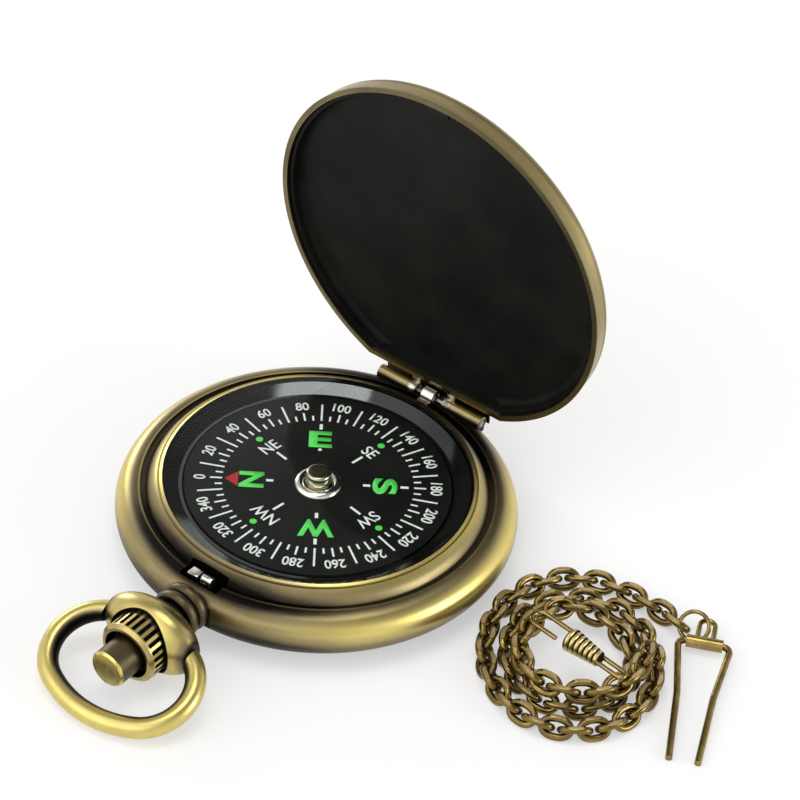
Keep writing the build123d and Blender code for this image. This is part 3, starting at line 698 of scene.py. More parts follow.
@dataclass(frozen=True)
class Ink:
    """Printing ink of one colour, thin in places."""

    name: str
    colour: Colour
    thin: Colour
    cloud_scale: float = 2400.0
    cloud_rise: Point = (0.45, 0.85)
    roughness: float = 0.5
    cloud_rough: float = 0.1

    def paint(self) -> Skin:
        """Builds the material.

        Returns:
            The material.
        """
        paint = Paint(self.name)
        cloud = paint.noise(self.cloud_scale)
        colour = paint.mix(cloud.step(*self.cloud_rise), self.colour, self.thin)
        paint.surface(Base_Color=colour, Roughness=cloud * self.cloud_rough + self.roughness)
        return paint.material


@dataclass(frozen=True)
class Glass:
    """Clear glass that is seen by its gloss alone."""

    name: str = "crystal_glass"
    tint: Colour = (0.98, 1.0, 0.99)
    ior: float = 1.4
    roughness: float = 0.01
    smear_scale: float = 90.0
    smear_share: float = 0.2
    gloss_share: float = 0.4

    def paint(self) -> Skin:
        """Builds the material.

        Returns:
            The material.
        """
        paint = Paint(self.name)
        clear = paint.node("BsdfTransparent", {}, {"Color": self.tint})
        gloss = paint.node("BsdfGlossy", {}, {"Roughness": self.roughness})
        smear = paint.noise(self.smear_scale) * self.smear_share + self.gloss_share
        front = 1 - paint.node("NewGeometry", {}, {}).out("Backfacing")
        share = paint.node("Fresnel", {}, {"IOR": self.ior}) * front * smear
        paint.output(paint.node("MixShader", {}, {0: share, 1: clear, 2: gloss}))
        return paint.material


class Bench:
    """Ways of making and finishing pieces."""

    @staticmethod
    def clear() -> None:
        """Leaves edit mode and deselects everything."""
        if bpy.context.mode != "OBJECT":
            bpy.ops.object.mode_set(mode="OBJECT")
        bpy.ops.object.select_all(action="DESELECT")

    @classmethod
    def pick(cls, *pieces: Piece) -> None:
        """Selects some pieces and makes the first one active.

        Args:
            pieces: The pieces.
        """
        cls.clear()
        for piece in pieces:
            piece.select_set(True)
        bpy.context.view_layer.objects.active = pieces[0]

    @classmethod
    def edit(cls, piece: Piece) -> None:
        """Goes into edit mode with the whole of a piece selected.

        Args:
            piece: The piece.
        """
        cls.pick(piece)
        bpy.ops.object.mode_set(mode="EDIT")
        bpy.ops.mesh.select_all(action="SELECT")

    @staticmethod
    def add(name: str, data: bpy.types.ID) -> Piece:
        """Puts a new object into the scene.

        Args:
            name: Its name.
            data: Its mesh, lamp or camera.

        Returns:
            The object.
        """
        piece = bpy.data.objects.new(name, data)
        bpy.context.scene.collection.objects.link(piece)
        return piece

    @classmethod
    def settle(cls, piece: Piece) -> None:
        """Puts a piece's place into its mesh."""
        cls.pick(piece)
        bpy.ops.object.transform_apply(location=True, rotation=True, scale=True)

    @classmethod
    def join(cls, pieces: Sequence[Piece], name: str) -> Piece:
        """Joins pieces into one.

        Args:
            pieces: The pieces, at least one.
            name: The joined piece's name.

        Returns:
            The joined piece.
        """
        cls.pick(*pieces)
        if len(pieces) > 1:
            bpy.ops.object.join()
        joined = bpy.context.view_layer.objects.active
        joined.name = name
        return joined

    @staticmethod
    def dress(piece: Piece, material: Skin) -> None:
        """Gives a piece one material."""
        piece.data.materials.clear()
        piece.data.materials.append(material)

    @classmethod
    def smooth_copy(cls, node: str, angle: float) -> Piece:
        """A merged, smooth-shaded copy of a CAD node that takes the node's place.

        Args:
            node: The node's name.
            angle: Edges sharper than this stay sharp, in degrees.

        Returns:
            The copy.
        """
        piece = cls.add(f"{node}_dressed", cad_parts[node].data.copy())
        cls.edit(piece)
        bpy.ops.mesh.customdata_custom_splitnormals_clear()
        bpy.ops.mesh.remove_doubles(threshold=MERGE_CAD)
        bpy.ops.object.mode_set(mode="OBJECT")
        bpy.ops.object.shade_smooth_by_angle(angle=math.radians(angle))
        return piece

    @staticmethod
    def ride(piece: Piece, body: Body, slot: Slot, node: str = "") -> None:
        """Lets a piece ride on a body.

        Args:
            piece: The piece.
            body: The body.
            slot: The piece's material slot; not used.
            node: The CAD node whose place it takes, if any.
        """
        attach(piece, body.value)
        if node:
            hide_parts(node)
        LOG.info("%s rides on %s", piece.name, body.value)

    @classmethod
    def lathe(cls, name: str, profile: Sequence[Point], steps: int) -> Piece:
        """A ring drawn out of a circle, one extrusion for each point of a closed profile.

        Args:
            name: The ring's name.
            profile: Radius and height of each corner, in order round the section.
            steps: Corners of the circle.

        Returns:
            The ring.
        """
        cls.clear()
        radius, height = profile[0]
        bpy.ops.mesh.primitive_circle_add(vertices=steps, radius=radius, location=(0.0, 0.0, height))
        piece = bpy.context.object
        piece.name = name
        cls.settle(piece)
        cls.edit(piece)
        for next_radius, next_height in (*profile[1:], profile[0]):
            rise = (0.0, 0.0, next_height - height)
            spread = next_radius / radius
            bpy.ops.mesh.extrude_region_move(TRANSFORM_OT_translate={"value": rise})
            bpy.ops.transform.resize(value=(spread, spread, 1.0), center_override=(0.0, 0.0, next_height))
            radius, height = next_radius, next_height
        cls.close()
        return piece

    @classmethod
    def strip(cls, name: str, profile: Sequence[Point], span: Point, thickness: float) -> Piece:
        """A bent strip of sheet, one extrusion for each point of its side view.

        Args:
            name: The strip's name.
            profile: Y and Z of each bend, in order.
            span: Its two sides in X.
            thickness: The sheet's thickness.

        Returns:
            The strip.
        """
        cls.clear()
        (first_y, first_z), (second_y, second_z) = profile[:2]
        bpy.ops.mesh.primitive_plane_add(size=1.0)
        piece = bpy.context.object
        piece.name = name
        away = math.atan2(second_z - first_z, second_y - first_y)
        reach = math.hypot(second_z - first_z, second_y - first_y)
        piece.scale = (span[1] - span[0], reach, 1.0)
        piece.rotation_euler = (away, 0.0, 0.0)
        piece.location = ((span[0] + span[1]) / 2, (first_y + second_y) / 2, (first_z + second_z) / 2)
        cls.settle(piece)
        end = Vector((0.0, second_y, second_z))
        near = [v.index for v in piece.data.vertices if (v.co.yz - end.yz).length < reach / 4]
        cls.select(piece, near)
        for next_y, next_z in profile[2:]:
            move = (0.0, next_y - end.y, next_z - end.z)
            bpy.ops.mesh.extrude_region_move(TRANSFORM_OT_translate={"value": move})
            end = Vector((0.0, next_y, next_z))
        bpy.ops.object.mode_set(mode="OBJECT")
        wall = piece.modifiers.new("wall", "SOLIDIFY")
        wall.thickness = thickness
        wall.offset = 0.0
        edge = piece.modifiers.new("edge", "BEVEL")
        edge.width = thickness / 4
        edge.segments = 2
        for modifier in ("wall", "edge"):
            bpy.ops.object.modifier_apply(modifier=modifier)
        bpy.ops.object.shade_smooth_by_angle(angle=SHEET_SHARP)
        return piece

    @classmethod
    def select(cls, piece: Piece, points: Iterable[int]) -> None:
        """Goes into edit mode with only some points of a piece selected.

        Args:
            piece: The piece.
            points: The points' numbers.
        """
        cls.pick(piece)
        bpy.ops.object.mode_set(mode="EDIT")
        bpy.ops.mesh.select_mode(type="VERT")
        bpy.ops.mesh.select_all(action="DESELECT")
        bpy.ops.object.mode_set(mode="OBJECT")
        for point in points:
            piece.data.vertices[point].select = True
        bpy.ops.object.mode_set(mode="EDIT")

    @staticmethod
    def close() -> None:
        """Merges the doubles of the mesh in edit mode, turns its faces outwards and leaves edit mode."""
        bpy.ops.mesh.select_all(action="SELECT")
        bpy.ops.mesh.remove_doubles(threshold=MERGE_OWN)
        bpy.ops.mesh.normals_make_consistent(inside=False)
        bpy.ops.object.mode_set(mode="OBJECT")


@dataclass
class CardPrint:
    """The printed rose: scale, figures, letters, arrow and dots."""

    north: float = math.radians(216.5)
    lift: float = 0.01 * MM
    thickness: float = 0.02 * MM
    scale_inner: float = 11.15 * MM
    long_end: float = 14.1 * MM
    medium_end: float = 12.55 * MM
    short_end: float = 12.0 * MM
    tick_width: float = 0.24 * MM
    figure_radius: float = 13.77 * MM
    figure_height: float = 1.42 * MM
    letter_radius: float = 7.75 * MM
    letter_height: float = 2.9 * MM
    letter_width: float = 2.75 * MM
    wide_letter: float = 4.2 * MM
    letter_weight: float = 0.04
    figure_weight: float = 0.018
    pair_weight: float = 0.01
    slender: float = 0.86
    curve_steps: int = 6
    pair_radius: float = 8.35 * MM
    pair_height: float = 1.65 * MM
    dash_width: float = 0.38 * MM
    thin_dash: float = 0.8
    pair_dash: Point = (5.45 * MM, 7.1 * MM)
    outer_dash: Point = (9.55 * MM, 10.5 * MM)
    inner_dash: Point = (5.2 * MM, 6.05 * MM)
    east_dot: Point = (5.9 * MM, 0.45 * MM)
    pair_dot: Point = (10.15 * MM, 0.85 * MM)
    dot_steps: int = 28
    arrow_tip: float = 10.85 * MM
    arrow_base: float = 9.3 * MM
    arrow_half: float = 1.3 * MM

    def level(self) -> float:
        """Height of the printed marks."""
        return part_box("compass_card")[1][2] + self.lift

    def turn(self, bearing: float) -> float:
        """Angle from +X of a bearing in degrees."""
        return self.north - math.radians(bearing)

    def spot(self, bearing: float, radius: float) -> Vector:
        """A point of the card."""
        angle = self.turn(bearing)
        return Vector((radius * math.cos(angle), radius * math.sin(angle), self.level()))

    def bar(self, bearing: float, inner: float, outer: float, width: float) -> Piece:
        """A printed bar along a radius.

        Args:
            bearing: Its bearing in degrees.
            inner: Its inner end.
            outer: Its outer end.
            width: Its width.

        Returns:
            The bar.
        """
        Bench.clear()
        bpy.ops.mesh.primitive_plane_add(size=1.0)
        piece = bpy.context.object
        piece.scale = (outer - inner, width, 1.0)
        piece.rotation_euler = (0.0, 0.0, self.turn(bearing))
        piece.location = self.spot(bearing, (inner + outer) / 2)
        Bench.settle(piece)
        return piece

    def dot(self, bearing: float, radius: float, size: float) -> Piece:
        """A printed dot.

        Args:
            bearing: Its bearing in degrees.
            radius: How far out it stands.
            size: Its width.

        Returns:
            The dot.
        """
        Bench.clear()
        place = self.spot(bearing, radius)
        bpy.ops.mesh.primitive_circle_add(
            vertices=self.dot_steps, radius=size / 2, fill_type="NGON", location=place
        )
        piece = bpy.context.object
        Bench.settle(piece)
        return piece

    def words(
        self, text: str, bearing: float, radius: float, height: float, width: float, weight: float
    ) -> Piece:
        """Printed characters with their tops outwards.

        Args:
            text: The characters.
            bearing: Where they stand, in degrees.
            radius: The radius of their middle.
            height: Their height.
            width: Their width, or zero for the face's own, made slender.
            weight: How much bolder than the plain face.

        Returns:
            The characters as one mesh.
        """
        Bench.clear()
        bpy.ops.object.text_add()
        piece = bpy.context.object
        piece.data.body = text
        piece.data.size = 1.0
        piece.data.offset = weight
        piece.data.resolution_u = self.curve_steps
        piece.data.fill_mode = "FRONT"
        bpy.ops.object.convert(target="MESH")
        piece = bpy.context.object
        xs = [v.co.x for v in piece.data.vertices]
        ys = [v.co.y for v in piece.data.vertices]
        tall = height / (max(ys) - min(ys))
        wide = width / (max(xs) - min(xs)) if width else tall * self.slender
        middle = Vector(((max(xs) + min(xs)) / 2, (max(ys) + min(ys)) / 2, 0.0))
        turn = Matrix.Rotation(self.turn(bearing) - math.pi / 2, 4, "Z")
        size = Matrix.Diagonal((wide, tall, 1.0, 1.0))
        to_spot = Matrix.Translation(self.spot(bearing, radius))
        piece.matrix_world = to_spot @ turn @ size @ Matrix.Translation(-middle)
        Bench.settle(piece)
        return piece

    def raise_ink(self, pieces: Sequence[Piece], name: str, ink: Ink) -> Piece:
        """Joins flat marks and gives them the ink's thickness.

        Args:
            pieces: Flat marks.
            name: The piece's name.
            ink: Its ink.

        Returns:
            The finished print.
        """
        piece = Bench.join(pieces, name)
        Bench.edit(piece)
        bpy.ops.mesh.normals_make_consistent(inside=False)
        bpy.ops.mesh.extrude_region_move(TRANSFORM_OT_translate={"value": (0.0, 0.0, self.thickness)})
        bpy.ops.mesh.select_all(action="SELECT")
        bpy.ops.mesh.normals_make_consistent(inside=False)
        bpy.ops.object.mode_set(mode="OBJECT")
        Bench.dress(piece, ink.paint())
        Bench.ride(piece, Body.CARD, Slot.MATTE)
        return piece

    def ticks(self) -> list[Piece]:
        """Ticks every five degrees, in three lengths.

        Returns:
            The ticks.
        """
        ends = (self.medium_end, self.short_end, self.long_end, self.short_end)
        return [
            self.bar(bearing, self.scale_inner, ends[bearing // 5 % 4], self.tick_width)
            for bearing in range(0, 360, 5)
        ]

    def figures(self) -> list[Piece]:
        """Figures every twenty degrees.

        Returns:
            The figures.
        """
        return [
            self.words(str(bearing), bearing, self.figure_radius, self.figure_height, 0.0, self.figure_weight)
            for bearing in range(0, 360, 20)
        ]

    def between(self) -> list[Piece]:
        """The white letters and dashes between the main points, and the dashes beside the main letters.

        Returns:
            The marks.
        """
        marks = []
        for text, bearing in (("NE", 45), ("SE", 135), ("SW", 225), ("NW", 315)):
            marks.append(self.words(text, bearing, self.pair_radius, self.pair_height, 0.0, self.pair_weight))
            marks.append(self.bar(bearing, *self.pair_dash, self.dash_width * self.thin_dash))
        marks += [self.bar(bearing, *self.outer_dash, self.dash_width) for bearing in (90, 180, 270)]
        marks += [self.bar(bearing, *self.inner_dash, self.dash_width) for bearing in (0, 180, 270)]
        return marks + [self.dot(90, *self.east_dot)]

    def build(self) -> None:
        """Makes and dresses all the print."""
        white = Ink("white_ink", (0.85, 0.85, 0.83), (0.6, 0.6, 0.58))
        green = Ink("green_ink", (0.09, 0.7, 0.09), (0.07, 0.55, 0.07))
        red = Ink("red_ink", (0.42, 0.012, 0.01), (0.28, 0.009, 0.008))
        self.raise_ink(self.ticks() + self.figures() + self.between(), "card_white_print", white)
        widths = (self.letter_width,) * 3 + (self.wide_letter,)
        letters = [
            self.words(text, bearing, self.letter_radius, self.letter_height, width, self.letter_weight)
            for text, bearing, width in zip("NESW", range(0, 360, 90), widths)
        ]
        dots = [self.dot(bearing, *self.pair_dot) for bearing in (45, 135, 225, 315)]
        self.raise_ink(letters + dots, "card_green_print", green)
        self.raise_ink([self.arrow()], "card_red_arrow", red)

    def arrow(self) -> Piece:
        """The red triangle that points north.

        Returns:
            The triangle.
        """
        Bench.clear()
        bpy.ops.mesh.primitive_circle_add(vertices=3, radius=1.0, fill_type="NGON")
        piece = bpy.context.object
        # A triangle in a circle is one and a half radii high.
        length = (self.arrow_tip - self.arrow_base) / 1.5
        half = self.arrow_half / math.sin(math.pi / 3)
        piece.scale = (half, length, 1.0)
        piece.rotation_euler = (0.0, 0.0, self.turn(0) - math.pi / 2)
        piece.location = self.spot(0, self.arrow_tip - length)
        Bench.settle(piece)
        return piece


@dataclass
class Chain:
    """Curb links in the places of the CAD links, each rubbed flat above and below."""

    wire: float = 0.85 * MM
    length: float = 4.1 * MM
    width: float = 2.9 * MM
    flat: float = 1.04 * MM
    fullness: float = 0.6
    bend_steps: int = 24
    wire_steps: int = 10
    sharp: float = math.radians(40.0)
    level: float = 0.999

    def places(self) -> list[Matrix]:
        """Place and turn of every CAD link.

        Returns:
            One matrix per link: X along it, Z across its plane.
        """
        piece = Bench.add("link_places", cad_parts["chain_links"].data.copy())
        Bench.edit(piece)
        bpy.ops.mesh.remove_doubles(threshold=MERGE_CAD)
        bpy.ops.mesh.separate(type="LOOSE")
        bpy.ops.object.mode_set(mode="OBJECT")
        found = [self._place(part) for part in bpy.context.selected_objects]
        bpy.ops.object.delete()
        return found

    @staticmethod
    def _place(part: Piece) -> Matrix:
        """Place and turn of one link, from its own points.

        Args:
            part: The link.

        Returns:
            Its matrix.
        """
        points = [v.co.copy() for v in part.data.vertices]
        middle = sum(points, Vector()) / len(points)
        long_axis = (max(points, key=lambda p: (p - middle).length) - middle).normalized()
        flat = Vector((0.0, 0.0, 0.0))
        for point in points:
            off = point - middle
            side = off - long_axis * off.dot(long_axis)
            if side.length > flat.length:
                flat = side
        across = long_axis.cross(flat.normalized()).normalized()
        rows = Matrix((long_axis, across.cross(long_axis), across)).transposed().to_4x4()
        return Matrix.Translation(middle) @ rows

    def link(self, lean: float, skins: Sequence[Skin]) -> Piece:
        """One oval link: a ring pulled out along X and cut flat above and below.

        Args:
            lean: 1 or -1, the side that the link leans to in the chain.
            skins: Materials of the wire and of the flats.

        Returns:
            The link.
        """
        Bench.clear()
        bpy.ops.mesh.primitive_torus_add(
            major_segments=self.bend_steps,
            minor_segments=self.wire_steps,
            major_radius=(self.width - self.wire) / 2,
            minor_radius=self.wire / 2,
        )
        piece = bpy.context.object
        for skin in skins:
            piece.data.materials.append(skin)
        stretch = (self.length - self.width) / 2
        rings: dict[int, list[int]] = {}
        for vertex in piece.data.vertices:
            turn = math.atan2(vertex.co.y, vertex.co.x) / (2 * math.pi)
            rings.setdefault(round(turn * self.bend_steps) % self.bend_steps, []).append(vertex.index)
        for ring, points in rings.items():
            reach = math.cos(2 * math.pi * ring / self.bend_steps)
            Bench.select(piece, points)
            pull = math.copysign(abs(reach) ** self.fullness, reach) * stretch
            bpy.ops.transform.translate(value=(pull, 0.0, 0.0))
            bpy.ops.object.mode_set(mode="OBJECT")
        bpy.ops.object.mode_set(mode="EDIT")
        upright = Vector((0.0, lean, 1.0)).normalized()
        for way in (-1, 1):
            bpy.ops.mesh.select_all(action="SELECT")
            cut = {"plane_co": upright * self.flat * way, "plane_no": upright * way}
            bpy.ops.mesh.bisect(use_fill=True, clear_outer=True, threshold=MERGE_OWN, **cut)
        Bench.close()
        bpy.ops.object.shade_smooth_by_angle(angle=self.sharp)
        for face in piece.data.polygons:
            face.material_index = int(abs(face.normal.dot(upright)) > self.level)
        return piece

    def build(self) -> None:
        """Copies the link to every place and dresses the chain."""
        wire = Brass(
            "chain_brass", Patina(depth=0.42), gold=(0.6, 0.45, 0.13), tan=(0.2, 0.14, 0.04),
            chance=0.9, roughness=0.24, brushed=False, stroke_scale=500.0,
        )
        flats = Brass(
            "chain_flats", Patina(depth=0.18), gold=(0.66, 0.47, 0.24), tan=(0.3, 0.21, 0.08),
            chance=1.4, roughness=0.34, brushed=False, stroke_scale=300.0, metal=0.6,
        )
        skins = (wire.paint(), flats.paint())
        places = self.places()
        models = {lean: self.link(lean, skins) for lean in (-1, 1)}
        copies = []
        for place in places:
            up = place.to_3x3().transposed() @ Vector((0.0, 0.0, 1.0))
            model = models[1 if up.y * up.z > 0 else -1]
            copy = Bench.add("link", model.data.copy())
            copy.matrix_world = place
            Bench.settle(copy)
            copies.append(copy)
        Bench.pick(*models.values())
        bpy.ops.object.delete()
        chain = Bench.join(copies, "chain_dressed")
        Bench.ride(chain, Body.CHAIN, Slot.BRASS, "chain_links")


class Assembly:
    """A group of CAD nodes that are dressed together."""

    smooth_angle: float = 28.0

    def dress(self, material: Skin, slot: Slot, body: Body, *nodes: str) -> None:
        """Puts a smooth copy in the place of each node and gives it one material.

        Args:
            material: Their material.
            slot: Their material slot.
            body: The body that they ride on.
            nodes: The nodes' names.
        """
        for node in nodes:
            piece = Bench.smooth_copy(node, self.smooth_angle)
            Bench.dress(piece, material)
            Bench.ride(piece, body, slot, node)


@dataclass
class Case(Assembly):
    """Band, back, bezel and the case's half of the hinge."""

    def build(self) -> None:
        """Dresses the case."""
        # The case's brass carries painted shade and highlight on the roll and painted shade in the slot and
        # the pocket.
        turned = Brass("case_brass", CasePatina(), anisotropy=0.6).paint()
        # The hinge tubes carry a painted highlight on top and painted shade below.
        tubes = Brass("hinge_brass", KnucklePatina(), brushed=False, chance=0.3).paint()
        tongue = Steel("tongue_steel", (0.86, 0.82, 0.7), (0.6, 0.56, 0.45), 0.16).paint()
        coil = Steel("spring_steel", (0.3, 0.28, 0.24), (0.1, 0.09, 0.08), 0.24).paint()
        self.dress(turned, Slot.BRASS, Body.CASE, "case_band", "case_back", "bezel_ring")
        self.dress(tubes, Slot.BRASS, Body.CASE, "case_knuckles")
        self.dress(tongue, Slot.STEEL, Body.CASE, "spring_tongue")
        self.dress(coil, Slot.STEEL, Body.CASE, "hinge_pin", "lid_spring")


@dataclass
class Lid(Assembly):
    """The lid with its black inside and its half of the hinge."""

    leaf_half: float = 7.7 * MM
    leaf_sheet: float = 0.16 * MM
    leaf_bends: tuple[Point, ...] = (
        (1.47 * MM, 1.44 * MM), (1.47 * MM, -0.6 * MM), (1.36 * MM, -0.95 * MM),
    )

    def leaf(self) -> Piece:
        """The plate that hangs from the straight side behind the hinge tubes, clear of them in every pose: a
        dark plate of painted shade behind the tubes.

        Returns:
            The plate.
        """
        _, hinge_y, hinge_z = HINGE
        sine, cosine = math.sin(LID_TURN), math.cos(LID_TURN)
        bends = [
            (hinge_y + sine * out - cosine * up, hinge_z + cosine * out + sine * up)
            for out, up in self.leaf_bends
        ]
        return Bench.strip("lid_shade_leaf", bends, (-self.leaf_half, self.leaf_half), self.leaf_sheet)

    def build(self) -> None:
        """Makes the leaf, a dark plate of painted shade behind the hinge tubes, and dresses the lid."""
        # The lid's brass is darkened on its rim, side and dome foot partly as painted shade.
        shell = Brass("lid_brass", LidPatina(), anisotropy=0.4).paint()
        liner = Enamel("lid_paint", roughness=0.5, specular=0.12).paint()
        worn = Steel("knuckle_nickel", (0.66, 0.62, 0.52), (0.22, 0.2, 0.15), 0.24, (0.4, 0.6)).paint()
        self.dress(shell, Slot.BRASS, Body.LID, "lid_shell")
        self.dress(liner, Slot.PAINT, Body.LID, "lid_liner")
        self.dress(worn, Slot.STEEL, Body.LID, "lid_knuckles")
        leaf = self.leaf()
        # The leaf is dressed dark brown all over as painted shade.
        Bench.dress(leaf, Brass("leaf_shade_brass", Patina(depth=0.9), brushed=False).paint())
        Bench.ride(leaf, Body.LID, Slot.BRASS)


@dataclass
class Dial(Assembly):
    """Card, its pivot, the black ring round it and the glass over it."""

    ring_foot: Point = (15.8 * MM, 7.24 * MM)
    ring_knee: Point = (16.18 * MM, 7.24 * MM)
    ring_top: Point = (17.75 * MM, 7.94 * MM)
    ring_thickness: float = 0.1 * MM
    ring_steps: int = 160
    ring_sharp: float = math.radians(15.0)

    def ring(self) -> Piece:
        """The glossy conical ring round the card.

        Returns:
            The ring.
        """
        upper = (self.ring_foot, self.ring_knee, self.ring_top)
        lower = [(radius, height - self.ring_thickness) for radius, height in reversed(upper)]
        piece = Bench.lathe("rehaut_dressed", (*upper, *lower), self.ring_steps)
        bpy.ops.object.shade_smooth_by_angle(angle=self.ring_sharp)
        return piece

    def build(self) -> None:
        """Makes the ring and the print, and dresses the dial."""
        gloss = Enamel("ring_gloss", roughness=0.08, grain=0.0, specular=0.5, ior=1.9).paint()
        stock = Enamel("card_stock", roughness=0.5, specular=0.2).paint()
        chrome = Steel("hub_chrome", (0.85, 0.84, 0.8), (0.62, 0.6, 0.54), 0.06).paint()
        steel = Steel("pivot_steel").paint()
        post = Brass(
            "post_brass", Patina(depth=0.16), gold=(0.66, 0.61, 0.46), tan=(0.36, 0.32, 0.22),
            chance=0.6, roughness=0.2, brushed=False,
        ).paint()
        ring = self.ring()
        Bench.dress(ring, gloss)
        Bench.ride(ring, Body.CASE, Slot.GLOSS, "rehaut_ring")
        self.dress(stock, Slot.MATTE, Body.CASE, "dial_bowl")
        self.dress(stock, Slot.MATTE, Body.CARD, "compass_card")
        self.dress(steel, Slot.STEEL, Body.CARD, "card_magnets")
        self.dress(steel, Slot.STEEL, Body.CASE, "pivot_pin")
        self.dress(chrome, Slot.CHROME, Body.CARD, "card_hub")
        self.dress(post, Slot.CHROME, Body.CARD, "jewel_post")
        self.dress(Glass().paint(), Slot.GLASS, Body.CASE, "crystal")
        self.dress(Enamel("gasket_rubber", roughness=0.7).paint(), Slot.RUBBER, Body.CASE, "crystal_gasket")
        CardPrint().build()


@dataclass
class Pendant(Assembly):
    """Neck, collar, crown, button, bow and the catch behind them."""

    catch_half: float = 1.5 * MM
    catch_split: float = 0.12 * MM
    catch_sheet: float = 0.3 * MM
    # Bends of the two lobes: how far forward and down from the upright's top, in sheets.
    flat_bends: tuple[Point, ...] = ((0.0, 1.0), (0.5, 0.0))
    curl_bends: tuple[Point, ...] = ((0.0, 1.4), (0.4, 0.4), (1.4, 0.0), (2.2, 0.2), (2.7, 1.1), (2.8, 2.2))
    nose_drop: float = 0.1

    def catch(self) -> Piece:
        """The catch: an upright that is split at the top into a flat lobe and a curled one.

        Returns:
            The catch.
        """
        low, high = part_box("latch_catch")
        half, split, sheet = self.catch_half, self.catch_split, self.catch_sheet
        back, top = high.y - sheet / 2, high.z - sheet / 2
        foot = (back, low.z)
        nose = ((low.y + sheet, top), (low.y, top - sheet * self.nose_drop))
        flat, curl = (
            [(back - sheet * forward, top - sheet * down) for forward, down in bends]
            for bends in (self.flat_bends, self.curl_bends)
        )
        lobes = [
            Bench.strip("flat_lobe", (foot, *flat, *nose), (-half, -split), sheet),
            Bench.strip("curled_lobe", (foot, *curl), (split, half), sheet),
        ]
        return Bench.join(lobes, "catch_dressed")

    def build(self) -> None:
        """Makes the catch and dresses the pendant."""
        # Collar, crown and bow carry painted shade and painted highlight.
        for node, patina, body in (
            ("pendant_neck", NeckPatina(), Body.CASE),
            ("pendant_collar", CollarPatina(), Body.CASE),
            ("crown_sleeve", CrownPatina(), Body.CASE),
            ("push_button", ButtonPatina(), Body.BUTTON),
            ("bow", BowPatina(), Body.BOW),
        ):
            brushed = node != "bow"
            material = Brass(f"{node}_brass", patina, brushed=brushed, chance=0.3).paint()
            self.dress(material, Slot.BRASS, body, node)
        steel = Steel("catch_steel", (0.85, 0.83, 0.76), (0.5, 0.46, 0.36), 0.14).paint()
        catch = self.catch()
        Bench.dress(catch, steel)
        Bench.ride(catch, Body.CATCH, Slot.STEEL, "latch_catch")
        self.dress(steel, Slot.STEEL, Body.BUTTON, "button_clip")
        self.dress(steel, Slot.STEEL, Body.CASE, "button_spring")


@dataclass
class Clips(Assembly):
    """The snap clasp and the belt clip at the chain's ends."""

    def build(self) -> None:
        """Dresses both."""
        wire = Brass(
            "clip_brass", Patina(depth=0.34), gold=(0.6, 0.46, 0.16), tan=(0.22, 0.155, 0.05),
            chance=0.9, roughness=0.2, brushed=False, stroke_scale=700.0,
        ).paint()
        # The sleeve carries a painted highlight on its ribs and painted shade between them.
        sleeve = Brass("sleeve_brass", SleevePatina(), gold=(0.66, 0.52, 0.22), chance=0.25).paint()
        nodes = ("clasp_hook", "clasp_eye", "belt_clip", "belt_tube", "belt_loop", "belt_ring")
        self.dress(wire, Slot.BRASS, Body.CHAIN, *nodes)
        self.dress(sleeve, Slot.BRASS, Body.CHAIN, "clasp_sleeve")


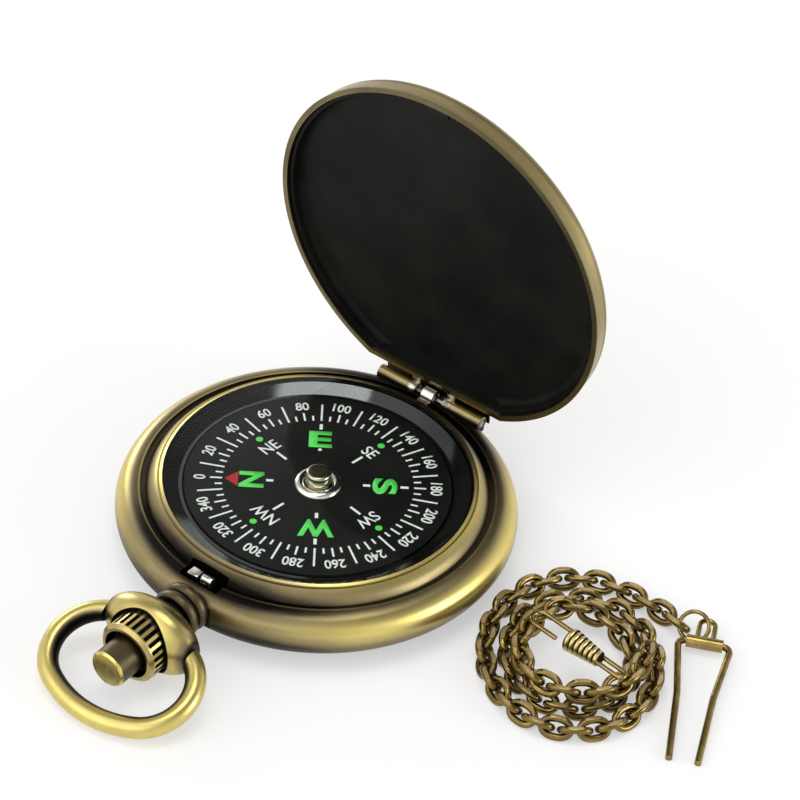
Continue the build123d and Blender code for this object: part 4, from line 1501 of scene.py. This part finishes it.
@dataclass
class Studio:
    """Floor, light and camera."""

    location: Triple = (154.460 * MM, -209.818 * MM, 238.458 * MM)
    azimuth: float = math.radians(34.445)
    elevation: float = math.radians(39.882)
    roll: float = math.radians(4.495)
    lens: float = 135.0
    sensor: float = 36.0
    clip: Point = (0.01, 20.0)
    floor_size: float = 3.0
    floor_white: float = 0.45
    paper_grain: Point = (6.0, 2.0)
    paper: tuple[Colour, Colour] = ((0.93, 0.93, 0.93), (0.95, 0.95, 0.95))
    sky: tuple[Point, ...] = ((0.0, 0.6), (0.5, 0.9), (0.74, 0.8), (0.9, 0.34), (1.0, 0.12))
    key_way: Triple = (-0.27, -0.68, 0.68)
    key_spread: Point = (0.63, 1.0)
    key_light: float = 1.3
    lamps: tuple[tuple[str, Triple, float, float], ...] = (
        ("top", (0.0, 0.0, 0.75), 0.36, 1.4),
        ("left", (-0.8, 0.3, 0.2), 0.3, 1.4),
        ("right", (0.8, 0.25, 0.22), 0.35, 2.2),
    )

    def camera(self) -> None:
        """Makes the camera at the photograph's viewing angle."""
        data = bpy.data.cameras.new("camera")
        data.lens = self.lens
        data.sensor_width = self.sensor
        data.clip_start, data.clip_end = self.clip
        camera = Bench.add("camera", data)
        aim = Matrix.Rotation(self.azimuth, 4, "Z") @ Matrix.Rotation(math.pi / 2 - self.elevation, 4, "X")
        camera.matrix_world = Matrix.Translation(self.location) @ aim @ Matrix.Rotation(self.roll, 4, "Z")
        bpy.context.scene.camera = camera

    @staticmethod
    def lamp(name: str, place: Triple, size: float, power: float) -> None:
        """Adds a soft square lamp that shines at the origin.

        Args:
            name: Its name.
            place: Where it hangs.
            size: Its side.
            power: Its power in watts.
        """
        data = bpy.data.lights.new(name, "AREA")
        data.size = size
        data.energy = power
        lamp = Bench.add(name, data)
        lamp.location = Vector(place)
        lamp.rotation_mode = "QUATERNION"
        lamp.rotation_quaternion = (Vector() - Vector(place)).to_track_quat("-Z", "Y")

    def floor(self) -> None:
        """Lays the pale floor, white to the eye outside the shadow."""
        Bench.clear()
        bpy.ops.mesh.primitive_plane_add(size=self.floor_size)
        floor = bpy.context.object
        floor.name = "floor"
        paint = Paint("floor_paper")
        cloud = paint.noise(*self.paper_grain)
        colour = paint.mix(cloud, *self.paper)
        paper = paint.node("BsdfDiffuse", {}, {"Color": colour})
        white = paint.node("Emission", {}, {"Color": (1.0, 1.0, 1.0), "Strength": 1.0})
        ray = paint.node("LightPath", {}, {})
        seen = ray.out("Is Camera Ray").most(ray.out("Is Glossy Ray")).most(ray.out("Is Transmission Ray"))
        share = {0: seen * self.floor_white, 1: paper, 2: white}
        paint.output(paint.node("MixShader", {}, share))
        Bench.dress(floor, paint.material)

    def world(self) -> None:
        """Soft grey light from above that pales towards the horizon, with a wide glow at the front."""
        world = bpy.data.worlds.new("studio")
        world.use_nodes = True
        tree = Tree(world.node_tree)
        way = tree.node("TexCoord", {}, {}).out("Generated")
        height = tree.node("SeparateXYZ", {}, {0: way}).out("Z")
        stops = [(at, (light, light, light)) for at, light in self.sky]
        towards = tree.node("VectorMath", {"operation": "DOT_PRODUCT"}, {0: way, 1: self.key_way})
        key = towards.out("Value").step(*self.key_spread) * self.key_light
        light = tree.node("Background", {}, {0: tree.ramp(height * 0.5 + 0.5, stops) + key})
        tree.node("OutputWorld", {}, {0: light})
        bpy.context.scene.world = world

    def build(self) -> None:
        """Sets the stage."""
        bpy.context.scene.view_settings.view_transform = "Standard"
        self.camera()
        self.floor()
        self.world()
        for lamp in self.lamps:
            self.lamp(*lamp)


def main() -> None:
    """Builds the stage and every piece in order."""
    logging.basicConfig(level=logging.INFO)
    Studio().build()
    for assembly in (Case(), Lid(), Dial(), Pendant(), Chain(), Clips()):
        assembly.build()
    Bench.clear()


if __name__ == "__main__":
    main()
